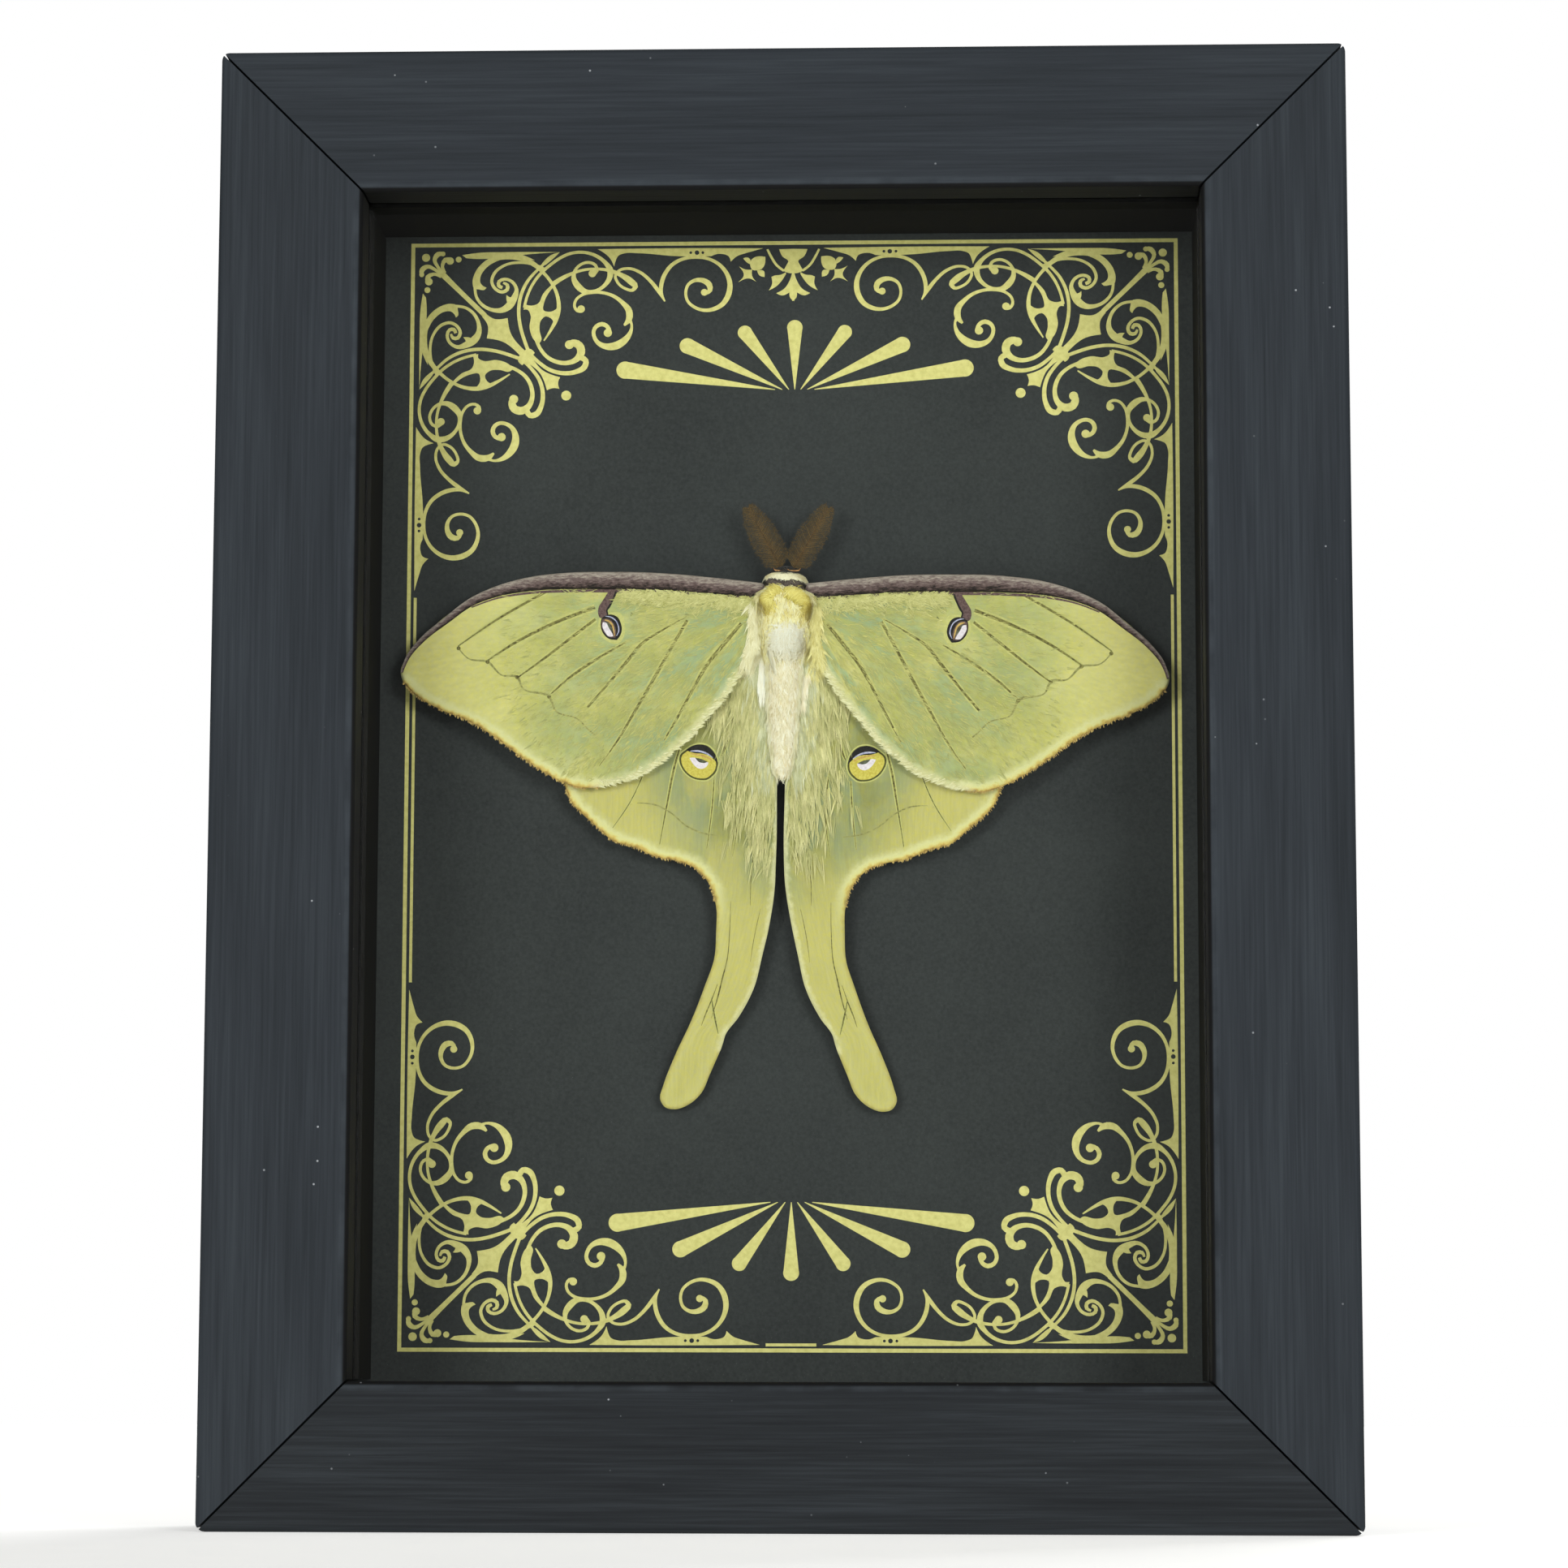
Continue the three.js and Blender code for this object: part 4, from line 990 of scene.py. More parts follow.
def wing_scales(name, greens, blue, yellow, yellow_lit_from, streak_mm, pale_mm):
    """The green wing: clouds, streaks along the hairs, a pale inner band and an ochre rim."""
    material, tree, shader = new_material(name)
    place = add(tree, "ShaderNodeTexCoord").outputs["Object"]
    across = add(tree, "ShaderNodeAttribute", attribute_name="across").outputs["Fac"]
    along = add(tree, "ShaderNodeAttribute", attribute_name="along").outputs["Fac"]
    combed = add(tree, "ShaderNodeCombineXYZ", {"X": across, "Y": along})

    # Clouds of yellow-green, and bluish clouds that are drawn out along the hairs.
    clouds = add(tree, "ShaderNodeTexNoise", {
        "Vector": place, "Scale": per_mm(8.0), "Detail": 5.0, "Roughness": 0.6, "Distortion": 0.4})
    cover = add(tree, "ShaderNodeValToRGB", {
        "Fac": clouds.outputs["Fac"]}, ramp=((0.36, greens[0]), (0.5, greens[1]), (0.62, greens[2])))
    drawn = add(tree, "ShaderNodeMapping", {"Vector": combed.outputs[0], "Scale": (1 / 4.5, 1 / 11.0, 1.0)})
    bluish = add(tree, "ShaderNodeTexNoise", {
        "Vector": drawn.outputs[0], "Scale": 1.0, "Detail": 5.0, "Roughness": 0.6, "Distortion": 0.6})
    blue_share = add(tree, "ShaderNodeMapRange", {
        "Value": bluish.outputs["Fac"], "From Min": 0.43, "From Max": 0.6, "To Max": 0.9})
    body_side = add(tree, "ShaderNodeAttribute", attribute_name="from_body").outputs["Fac"]
    near_body = add(tree, "ShaderNodeMapRange", {
        "Value": body_side, "From Min": 36.0, "From Max": 10.0, "To Min": 0.4, "To Max": 1.0})
    blue_share = add(tree, "ShaderNodeMath", {
        0: blue_share.outputs[0], 1: near_body.outputs[0]}, operation="MULTIPLY")
    tinted = add(tree, "ShaderNodeMix", {
        0: blue_share.outputs[0], 6: cover.outputs["Color"], 7: srgb(blue)}, data_type="RGBA")
    # Toward the tip the wing turns a paler yellow: partly its own colour, partly painted light that
    # brightens the forewing tips where the rails shade them.
    far = add(tree, "ShaderNodeMapRange", {"Value": body_side, "From Min": yellow_lit_from[0],
            "From Max": yellow_lit_from[1], "To Max": 0.9}, interpolation_type="SMOOTHSTEP")
    tip_yellow_lit = add(tree, "ShaderNodeMix", {
        0: far.outputs[0], 6: tinted.outputs[2], 7: srgb(yellow)}, data_type="RGBA")

    # Fine streaks: rows of scales that lie along the wing, lighter and darker by turns.
    fine = add(tree, "ShaderNodeMapping", {
        "Vector": combed.outputs[0], "Scale": (1 / STREAK_WIDTH, 1 / streak_mm, 1.0)})
    streaks = add(tree, "ShaderNodeTexNoise", {
        "Vector": fine.outputs[0], "Scale": 1.0, "Detail": 3.0, "Roughness": 0.6})
    speckle = add(tree, "ShaderNodeTexNoise", {
        "Vector": place, "Scale": per_mm(0.5), "Detail": 3.0, "Roughness": 0.65})
    mottle = add(tree, "ShaderNodeMix", {
        0: 0.4, 2: streaks.outputs["Fac"], 3: speckle.outputs["Fac"]}, data_type="FLOAT")
    value = add(tree, "ShaderNodeMapRange", {
        "Value": mottle.outputs[0], "From Min": 0.33, "From Max": 0.67, "To Min": 0.9, "To Max": 1.09})
    colourful = add(tree, "ShaderNodeMapRange", {
        "Value": speckle.outputs["Fac"], "From Min": 0.3, "From Max": 0.7, "To Min": 0.9, "To Max": 1.1})
    combed_tint = add(tree, "ShaderNodeHueSaturation", {
        "Value": value.outputs[0], "Saturation": colourful.outputs[0], "Color": tip_yellow_lit.outputs[2]})

    # The edge bands, by the distance to the margin in millimetres, with a ragged limit.
    margin = add(tree, "ShaderNodeAttribute", attribute_name="from_margin")
    ragged = add(tree, "ShaderNodeTexNoise", {
        "Vector": place, "Scale": per_mm(0.9), "Detail": 4.0, "Roughness": 0.65})
    wobble = add(tree, "ShaderNodeMapRange", {
        "Value": ragged.outputs["Fac"], "From Min": 0.3, "From Max": 0.7, "To Min": -0.3, "To Max": 0.3})
    depth = add(tree, "ShaderNodeMath", {0: margin.outputs["Fac"], 1: wobble.outputs[0]}, operation="ADD")
    band = add(tree, "ShaderNodeMapRange", {"Value": depth.outputs[0], "From Min": 0.0, "From Max": 5.0})
    from_edge = ((0.0, "#9A783C"), (0.03, "#CCA856"), (0.07, "#DDC36B"), (0.12, "#E0D88E"),
                 (0.21, "#E0DCA2"), (0.34, "#D9D595"))
    edge = add(tree, "ShaderNodeValToRGB", {"Fac": band.outputs[0]}, ramp=from_edge)
    share = add(tree, "ShaderNodeMapRange", {"Value": depth.outputs[0], "From Min": 2.2, "From Max": 0.6,
            "To Max": 0.9}, interpolation_type="SMOOTHSTEP")
    rimmed = add(tree, "ShaderNodeAttribute", attribute_name="rim")
    share = add(tree, "ShaderNodeMath", {
        0: share.outputs[0], 1: rimmed.outputs["Fac"]}, operation="MULTIPLY")
    banded = add(tree, "ShaderNodeMix", {
        0: share.outputs[0], 6: combed_tint.outputs[0], 7: edge.outputs["Color"]}, data_type="RGBA")

    # Pale hair scales along the inner edge.
    inner = add(tree, "ShaderNodeAttribute", attribute_name="from_inner")
    inner_depth = add(tree, "ShaderNodeMath", {
        0: inner.outputs["Fac"], 1: wobble.outputs[0]}, operation="ADD")
    pale_share = add(tree, "ShaderNodeMapRange", {"Value": inner_depth.outputs[0], "From Min": pale_mm,
            "From Max": 0.1, "To Max": 0.7}, interpolation_type="SMOOTHSTEP")
    pale = add(tree, "ShaderNodeMix", {
        0: pale_share.outputs[0], 6: banded.outputs[2], 7: srgb("#E4DEAC")}, data_type="RGBA")
    tree.links.new(pale.outputs[2], shader.inputs["Base Color"])
    relief = add(tree, "ShaderNodeBump", {
        "Strength": 0.5, "Distance": 0.07 * MM, "Height": mottle.outputs[0]})
    tree.links.new(relief.outputs[0], shader.inputs["Normal"])
    shader.inputs["Roughness"].default_value = 0.7
    shader.inputs["Specular IOR Level"].default_value = 0.25
    shader.inputs["Sheen Weight"].default_value = 0.15
    shader.inputs["Sheen Roughness"].default_value = 0.4
    return material


markings = {
    VEIN: scale_cover("vein, olive-brown scales", "#4C4522", "#96904E", 0.36),
    LINE_MARK: scale_cover("wavy line, dusky scales", "#7F7B47", "#ACA966", 0.4),
    HALO: scale_cover("pale scales round an eyespot", "#BBB96D", "#CBC77C"),
    STALK: scale_cover("maroon scales", "#4E3A38", "#725A57"),
    JET: scale_cover("black scales", "#12110F", "#26231F"),
    SKY: scale_cover("pale blue scales", "#8E90B4", "#C3C0D2"),
    OCHRE: scale_cover("ochre scales", "#B98F4A", "#D6B566"),
    PUPIL: scale_cover("dusky clear window of an eyespot", "#3F3A2C", "#666A55"),
    MILK: scale_cover("white scales", "#DACCD2", "#F0E6EA"),
    YOLK: scale_cover("yellow scales", "#C2AE45", "#D8CB62"),
    RING: scale_cover("dark olive scales", "#45441C", "#5E5D2C"),
}
fore_green = wing_scales("forewing membrane, green scales", ("#ADAC62", "#BAB76C", "#CAC379"), "#9AAB80",
                         "#DFD583", (30, 50), 1.6, 1.7)
hind_green = wing_scales("hindwing membrane, green scales", ("#929153", "#A09E5D", "#B0AA68"), "#8C9873",
                         "#C9BF70", (19, 27), 4.0, 1.0)
print("marking finishes:", len(markings))

# %% [markdown]
# ## The wings: sheets
#
# The height of a wing above the card follows the solid in the CAD part, so the sheet
# replaces that solid without moving anything. Three distances are kept for the
# material: from the body, from the outer margin and from the inner edge.

# %% Heights of the wings
RIPPLE = 0.16  # mm
RIDGE = 0.10  # mm, how far a vein stands up


def ripples(points, side):
    """A gentle unevenness of the dry membrane."""
    return np.array([noise.noise(Vector((x * 0.16, y * 0.16, side * 3.0))) for x, y in points]) * RIPPLE


def fore_height(points, side):
    """Millimetres above the card, for points of the forewing."""
    along = np.clip(points[:, 0] / 54.8, 0, 1)
    to_front = distance_to(points, np.array(fore_front))
    to_rear = distance_to(points, np.array(fore_margin + fore_inner))
    across = to_front / np.maximum(to_front + to_rear, 1e-6)
    return 4.6 - 0.9 * along**2 + 0.35 * np.sin(math.pi * across) + ripples(points, side)


def hind_height(points, side):
    """Millimetres above the card, for points of the hindwing."""
    along = np.clip(-points[:, 1] / 69.0, 0, 1)
    return 3.2 - 1.5 * along**2 + ripples(points, side + 1)


def lift(points, veins, spread=0.45):
    """The low ridge over each vein."""
    ridge = np.zeros(len(points))
    for vein in veins:
        away = distance_to(points, through(vein, 0.5))
        ridge = np.maximum(ridge, np.exp(-((away / spread) ** 2)))
    return ridge * RIDGE


# %% How the scales lie
FAN = (2.0, 3.0)  # mm, the point that the rows of the forewing fan out from
FAN_REACH = 24.0  # mm, where a step in angle is taken as its true width


def fore_lie(points):
    """Across and along the rows of scales, in millimetres, for the forewing."""
    x, y = points[:, 0] - FAN[0], points[:, 1] - FAN[1]
    return np.arctan2(y, np.maximum(x, 0.01)) * FAN_REACH, np.hypot(x, y)


def hind_lie(points):
    """The same for the hindwing, where the rows follow its inner edge into the tail."""
    inner_line = np.array(sorted((y, x) for x, y in hind_inner))
    return points[:, 0] - np.interp(points[:, 1], *inner_line.T), -points[:, 1]


# %% Cut and lift the wings
MEMBRANE = 0.16  # mm
finish_list = [markings[n] for n in sorted(markings)]


def gap_on_left(points):
    """How far the left hindwing's inner edge is drawn aside below the abdomen, in millimetres."""
    return np.interp(points[:, 1], (-44.0, -35.0, -22.0, -10.0),
                     (0.0, 0.5, 0.5, 0.0)) * np.exp(-np.abs(points[:, 0]) / 2.0)


def wing(name, node, side, edge, figures, veins, height, margin, inner, green, lie):
    """One wing as a thin closed sheet that stands for its CAD solid."""
    flat, triangles, finishes = inlay(edge, figures, spacing=0.6)
    rise = height(flat, side) + lift(flat, veins)
    aside = gap_on_left(flat) if node == "hindwing_left" else 0.0
    placed = on_card(np.column_stack([(flat[:, 0] + aside) * side, flat[:, 1], rise]))
    if side < 0:
        triangles = [tuple(reversed(t)) for t in triangles]
    piece = make_piece(name, placed, triangles, [green] + finish_list, finishes)
    hold_number(piece, "from_body", np.hypot(flat[:, 0], flat[:, 1] * 0.6))
    across, along = lie(flat)
    hold_number(piece, "across", across)
    hold_number(piece, "along", along + 100 * side)
    hold_number(piece, "from_margin", distance_to(flat, through(margin, 0.5)))
    hold_number(piece, "from_inner", distance_to(flat, through(inner, 0.5)))
    hold_number(piece, "rim", np.interp(flat[:, 1], (-43.0, -36.0), (0.15, 1.0)))
    thick = piece.modifiers.new("membrane", "SOLIDIFY")
    thick.thickness = MEMBRANE * MM
    thick.offset = -1
    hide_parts(node)
    return piece


wings = {}
SIDES = ((-1, "left"), (1, "right"))
for side, hand in SIDES:
    wings["forewing_" + hand] = wing(
        "forewing_sheet_" + hand, "forewing_" + hand, side, fore_edge, fore_figures, fore_veins, fore_height,
            fore_margin, fore_inner, fore_green, fore_lie)
    wings["hindwing_" + hand] = wing(
        "hindwing_sheet_" + hand, "hindwing_" + hand, side, hind_edge, hind_figures, hind_veins, hind_height,
            hind_margin, hind_inner, hind_green, hind_lie)
print("wing triangles:", {name: len(piece.data.polygons) for name, piece in wings.items()})

# %% [markdown]
# ## The front edge of the forewings
#
# The costa is the thick front vein of the forewing. Dense maroon-grey hair scales cover
# it. They are painted paler along its top, a painted highlight, and nearly black
# underneath, a painted shade. It is a real rounded rod, so it is swept as one, from the
# body to the wing tip, and it tapers all the way.

# %% Costa
COSTA = [(2.2, 4.9, 1.7), (4.4, 4.95, 2.1), (10.0, 5.4, 2.4), (18.0, 6.0, 2.5), (24.0, 6.1, 2.55),
         (31.4, 6.0, 2.4), (37.0, 5.45, 2.0),
         (41.0, 4.5, 1.55), (44.7, 2.95, 1.2), (48.5, 0.1, 0.95), (51.5, -2.35, 0.78), (53.7, -5.1, 0.6),
         (54.5, -7.3, 0.4)]

costa_hair, tree, shader = new_material("costa, maroon hair scales")
place = add(tree, "ShaderNodeTexCoord").outputs["Object"]
combed = add(tree, "ShaderNodeMapping", {"Vector": place, "Scale": (per_mm(0.9), per_mm(0.3), per_mm(0.24))})
strands = add(tree, "ShaderNodeTexNoise", {
    "Vector": combed.outputs[0], "Scale": 1.0, "Detail": 4.0, "Roughness": 0.7})
rod_light = add(tree, "ShaderNodeAttribute", attribute_name="rod_light")
shifted = add(tree, "ShaderNodeMapRange", {
    "Value": strands.outputs["Fac"], "From Min": 0.3, "From Max": 0.7, "To Min": -0.34, "To Max": 0.34})
level = add(tree, "ShaderNodeMath", {0: rod_light.outputs["Fac"], 1: shifted.outputs[0]}, operation="ADD")
# Painted light round the rod: a painted highlight along its top and painted shade, nearly black, underneath.
shade_below_highlight_above = ((0.08, "#241D19"), (0.22, "#4F3E3B"), (0.5, "#6F5C59"), (0.75, "#93847B"), (0.95, "#B5A79A"))
maroon = add(tree, "ShaderNodeValToRGB", {"Fac": level.outputs[0]}, ramp=shade_below_highlight_above)
tree.links.new(maroon.outputs["Color"], shader.inputs["Base Color"])
relief = add(tree, "ShaderNodeBump", {
    "Strength": 0.6, "Distance": 0.12 * MM, "Height": strands.outputs["Fac"]})
tree.links.new(relief.outputs[0], shader.inputs["Normal"])
shader.inputs["Roughness"].default_value = 0.8
shader.inputs["Specular IOR Level"].default_value = 0.25

AROUND = 12
for side, hand in SIDES:
    line = through(COSTA, 0.5)
    ahead = np.gradient(line[:, :2], axis=0)
    ahead /= np.hypot(*ahead.T)[:, None]
    across = np.stack([-ahead[:, 1], ahead[:, 0]], 1)
    base = fore_height(line[:, :2], side)
    points, rod_lights = [], []
    for (x, y, width), out, rise in zip(line, across, base):
        for k in range(AROUND):
            angle = k / AROUND * math.tau
            reach_out = math.cos(angle) * width / 2
            points.append((x * side + out[0] * reach_out * side, y + out[1] * reach_out,
                           rise + 0.05 + math.sin(angle) * width * 0.27))
            # 1 along the top of the rod and 0 underneath, for its painted highlight and shade.
            rod_lights.append(0.5 + 0.5 * math.cos(angle))
    rings = len(line)
    faces = []
    for i in range(rings - 1):
        for k in range(AROUND):
            a, b = i * AROUND + k, i * AROUND + (k + 1) % AROUND
            quad = (a, b, b + AROUND, a + AROUND)
            faces.append(quad if side > 0 else tuple(reversed(quad)))
    first, last = tuple(range(AROUND)), tuple(range((rings - 1) * AROUND, rings * AROUND))
    faces += [tuple(reversed(first)), last] if side > 0 else [first, tuple(reversed(last))]
    piece = make_piece("costa_" + hand, on_card(points), faces, [costa_hair])
    hold_number(piece, "rod_light", rod_lights)
print("costa rings:", rings)

# %% [markdown]
# ## Hair
#
# The body, the wing roots and the antennae are covered in hair. Each hair is its own
# little mesh: a flat ribbon of three sections that narrows to a point and lifts off
# the skin toward its tip. Thousands of them are worked out at once with arrays. Each
# hair remembers a random tone, and each of its points how near the tip it is, so the
# material can make roots darker, as painted shade where hairs shade one another, tips
# paler, and no two hairs quite alike. Some fur also glows faintly in its own colour:
# painted light.


# %% Ribbons of hair
def unit(vectors):
    """The same directions with a length of one."""
    return vectors / np.maximum(np.linalg.norm(vectors, axis=1), 1e-9)[:, None]


SECTIONS = (0.0, 0.35, 0.72)


def hairs(name, roots, ways, outs, lengths, widths, bends, tones, material):
    """Tapered ribbons. All places and directions are moth millimetres, one row for a hair."""
    ways, outs = unit(ways), unit(outs)
    sides = unit(np.cross(ways, outs))
    count = len(roots)
    rows = []
    for s in SECTIONS + (1.0,):
        centre = roots + ways * (lengths * s)[:, None] + outs * (bends * math.sin(s * 2.2))[:, None]
        half_width = (widths * 0.5 * (1 - s) ** 0.6)[:, None]
        if s < 1.0:
            rows += [centre - sides * half_width, centre + sides * half_width]
        else:
            rows.append(centre)
    per_hair = len(rows)
    points = np.stack(rows, 1).reshape(-1, 3)
    starts = np.arange(count) * per_hair
    faces = []
    for start in starts:
        faces += [(start, start + 1, start + 3, start + 2), (start + 2, start + 3, start + 5, start + 4),
                  (start + 4, start + 5, start + 6)]
    piece = make_piece(name, on_card(points), [tuple(int(i) for i in face) for face in faces], [material])
    hold_number(piece, "tone", np.repeat(tones, per_hair))
    tip = [s for s in SECTIONS for _ in (0, 1)] + [1.0]
    hold_number(piece, "tip", np.tile(tip, count))
    return piece


def hair_finish(name, root_dark, root_light, tip_dark, tip_light, glow=0.0):
    """Fine scales drawn out into hair. Roots are mostly darker than tips: painted shade where hairs shade
    one another. glow is painted light, the hair's own colour given off, standing for light that passes from
    hair to hair.
    """
    material, tree, shader = new_material(name)
    tone = add(tree, "ShaderNodeAttribute", attribute_name="tone").outputs["Fac"]
    tip = add(tree, "ShaderNodeAttribute", attribute_name="tip").outputs["Fac"]
    root = add(tree, "ShaderNodeMix", {0: tone, 6: srgb(root_dark), 7: srgb(root_light)}, data_type="RGBA")
    end = add(tree, "ShaderNodeMix", {0: tone, 6: srgb(tip_dark), 7: srgb(tip_light)}, data_type="RGBA")
    # Root to tip: the darker root colours are painted shade.
    along = add(tree, "ShaderNodeMapRange", {"Value": tip, "From Min": 0.05, "From Max": 0.6})
    both = add(tree, "ShaderNodeMix", {
        0: along.outputs[0], 6: root.outputs[2], 7: end.outputs[2]}, data_type="RGBA")
    tree.links.new(both.outputs[2], shader.inputs["Base Color"])
    # The glow is painted light: the hair gives off its own colour.
    tree.links.new(both.outputs[2], shader.inputs["Emission Color"])
    shader.inputs["Emission Strength"].default_value = glow
    shader.inputs["Roughness"].default_value = 0.65
    shader.inputs["Specular IOR Level"].default_value = 0.2
    shader.inputs["Sheen Weight"].default_value = 0.2
    return material


# %% [markdown]
# ## The body
#
# Under the fur is a plain skin: a spindle that is widest at the thorax and narrows to
# the tip of the abdomen, with the same profile as the CAD solid. It swells at the two
# shoulder pads and the collar, with a groove at the neck. The short body fur grows
# straight from this shape: cream on the abdomen, white down its sides, pale yellow on
# the thorax.

# %% Skin of the body
PROFILE = [(0.2, -21.7), (0.8, -21.4), (1.2, -20.5), (1.6, -18), (2.0, -14), (2.3, -10), (2.45, -7),
           (2.6, -5), (3.2, -3.4), (3.8, -1.2), (4.3, 1.7),
           (4.2, 3.9), (3.7, 5.2), (3.3, 6.2), (2.85, 6.95), (2.0, 7.45), (1.6, 8.0), (1.1, 8.4),
           (0.2, 8.55)]
BODY_HEIGHT = 3.3
FRONT_DEPTH, BACK_DEPTH = 0.95, 0.35
profile = np.array([(z, r) for r, z in PROFILE])

# Each swelling is: its middle (outward, up), its radius, and its height as a share.
SWELLINGS = [(-2.5, 3.5, 1.3, 0.13), (2.9, 3.2, 1.5, 0.13), (1.0, -2.4, 2.2, 0.03), (-1.8, 6.6, 0.9, 0.16),
             (1.6, 6.3, 1.2, 0.10), (0.4, 5.4, 0.5, -0.10),
             (3.4, 5.0, 0.6, -0.10), (-3.2, 5.2, 0.6, -0.10)]


def body_radius(z):
    """Half the body's width at a height along it."""
    return np.interp(z, profile[:, 0], profile[:, 1])


def on_body(z, turn, swell=1.0):
    """A point on the skin. turn is 0 toward the viewer and a quarter turn at the sides."""
    r = body_radius(z) * swell
    out = r * np.sin(turn)
    grown = 1.0
    for x, y, size, height in SWELLINGS:
        grown = grown + height * np.exp(-((out - x) ** 2 + (z - y) ** 2) / size**2) * (np.cos(turn) > -0.2)
    depth = np.where(np.cos(turn) > 0, FRONT_DEPTH, BACK_DEPTH)
    return np.stack([out * grown, z, BODY_HEIGHT + r * depth * np.cos(turn) * grown], -1)


AROUND_BODY = 56
ALONG_BODY = 130
skin_fur = scale_cover("skin of the body, short down", "#E8DFB2", "#F8F1D2", 0.5)
heights = np.linspace(PROFILE[0][1], PROFILE[-1][1], ALONG_BODY)
turns = np.arange(AROUND_BODY) / AROUND_BODY * math.tau
rings = np.array([on_body(np.full(AROUND_BODY, z), turns) for z in heights])
faces = [
    (i * AROUND_BODY + k, (i + 1) * AROUND_BODY + k, (i + 1) * AROUND_BODY + (k + 1) % AROUND_BODY,
     i * AROUND_BODY + (k + 1) % AROUND_BODY)
    for i in range(ALONG_BODY - 1)
    for k in range(AROUND_BODY)
]
last = (ALONG_BODY - 1) * AROUND_BODY
faces += [tuple(range(AROUND_BODY)), tuple(reversed(range(last, last + AROUND_BODY)))]
# The head is coloured black-brown: painted shade for the dark gap between the collar and the antennae.
head_shade_skin = scale_cover("skin of the head, black-brown", "#15130F", "#2A261F", 0.4)
on_head = [int(heights[k // AROUND_BODY] > 7.3) for k in range(len(faces) - 2)] + [0, 1]
skin = make_piece("body_skin", on_card(rings.reshape(-1, 3)), faces, [skin_fur, head_shade_skin], on_head)
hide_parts("moth_body")
print("skin faces:", len(faces))

# %% Regions of the fur
# Outlines seen from the front, in moth millimetres, from the shoulders down.
collar_area = np.array([(-2.9, 6.5), (-2.7, 7.0), (-2.1, 7.4), (-1.0, 7.35), (0.1, 6.95), (0.9, 7.1),
                        (2.5, 7.0), (3.1, 6.5), (3.7, 6.1), (2.9, 6.2), (1.8, 6.5), (0.9, 6.4),
                        (-0.4, 6.35), (-1.8, 6.5)])
band_area = np.array([(-4.6, 5.7), (-3.0, 6.2), (-1.7, 6.1), (-0.3, 5.9), (1.0, 6.0), (2.9, 5.8), (4.9, 5.7),
                      (4.9, 4.2), (4.3, 4.1), (3.0, 4.8), (1.8, 5.3), (0.6, 5.4),
                      (-0.1, 5.25), (-0.8, 5.6), (-2.7, 5.5), (-3.8, 4.4), (-4.6, 4.3)])
left_lobe_area = np.array([(-3.75, 3.2), (-2.7, 4.5), (-0.9, 4.75), (-0.3, 4.3), (-1.6, 3.9), (-2.0, 3.0),
                           (-1.8, 1.8), (-3.1, 0.9), (-3.8, 2.0)])
right_lobe_area = np.array([(-0.1, 4.5), (1.8, 4.4), (4.3, 3.3), (4.5, 2.1), (4.0, 0.4), (3.5, -0.6),
                            (3.0, 0.6), (2.8, 2.1), (1.9, 2.8), (0.4, 3.4)])
patch_area = disc(0.9, -2.7, 2.35, 24)
lobe_hole = [(-2.5, 2.75, 0.26), (-2.15, 1.65, 0.3), (2.95, 1.6, 0.3)]


def inside_any(x, y, areas):
    """Which points are inside any of the outlines."""
    spots = np.column_stack([x, y])
    return np.any([inside(spots, area) for area in areas], axis=0)


# %% Short fur, all round the body
rng = np.random.default_rng(7)


def coat(name, count, low, high, spread, length, width, material, lift, only, lock=7, scatter=0.22):
    """Locks of fur on the body between two heights, combed down toward the tail."""
    z = rng.uniform(low, high, count // lock)
    turn = rng.uniform(-spread, spread, count // lock)
    tone = rng.normal(0.5, 0.3, count // lock)
    size = length * rng.uniform(0.6, 1.3, count // lock)
    veer = rng.normal(0, 0.3, count // lock)
    z, turn, tone, size, veer = (np.repeat(v, lock) for v in (z, turn, tone, size, veer))
    slip = rng.normal(0, scatter, len(z))
    aside = rng.normal(0, scatter, len(z))
    z, turn = np.clip(z + slip, -21.6, 8.4), turn + aside / np.maximum(body_radius(z), 0.8)
    roots = on_body(z, turn, 0.98)
    keep = only(roots[:, 0], z)
    z, turn, tone, size, veer, slip, aside, roots = (v[keep] for v in (z, turn, tone, size, veer, slip,
            aside, roots))
    below = unit(on_body(z - 0.15, turn, 0.98) - roots)
    beside = unit(on_body(z, turn + 0.04, 0.98) - roots)
    outs = unit(np.cross(below, beside))
    lie = below * (1 + 0.5 * slip / size)[:, None] + beside * (veer - 0.7 * aside / size)[:,
            None] + outs * (lift + rng.normal(0, 0.05, len(z)))[:, None]
    faced = unit(outs + (0.0, 0.0, 0.7))
    size = size * rng.uniform(0.8, 1.1, len(z))
    tone = np.clip(tone + rng.normal(0, 0.12, len(z)), 0, 1)
    piece = hairs(name, roots, lie, faced, size, width * rng.uniform(0.7, 1.3, len(z)), 0.08 * size, tone,
                  material)
    return piece


def on_flank(x, z):
    """The sides of the abdomen, outside its cream back."""
    return (np.abs(x) > 0.86 * body_radius(z)) & (z < -4.0)


def on_back(x, z):
    """The cream back of the abdomen."""
    return ~on_flank(x, z) & (z < -3.6)


def on_thorax(x, z):
    """The thorax, apart from the places that have fur of their own."""
    return ~inside_any(x, z, [collar_area, band_area, left_lobe_area, right_lobe_area,
                              patch_area]) & (z > -5.0)


def on_crown(x, z):
    """The head in front of the collar."""
    return ~inside_any(x, z, [collar_area])


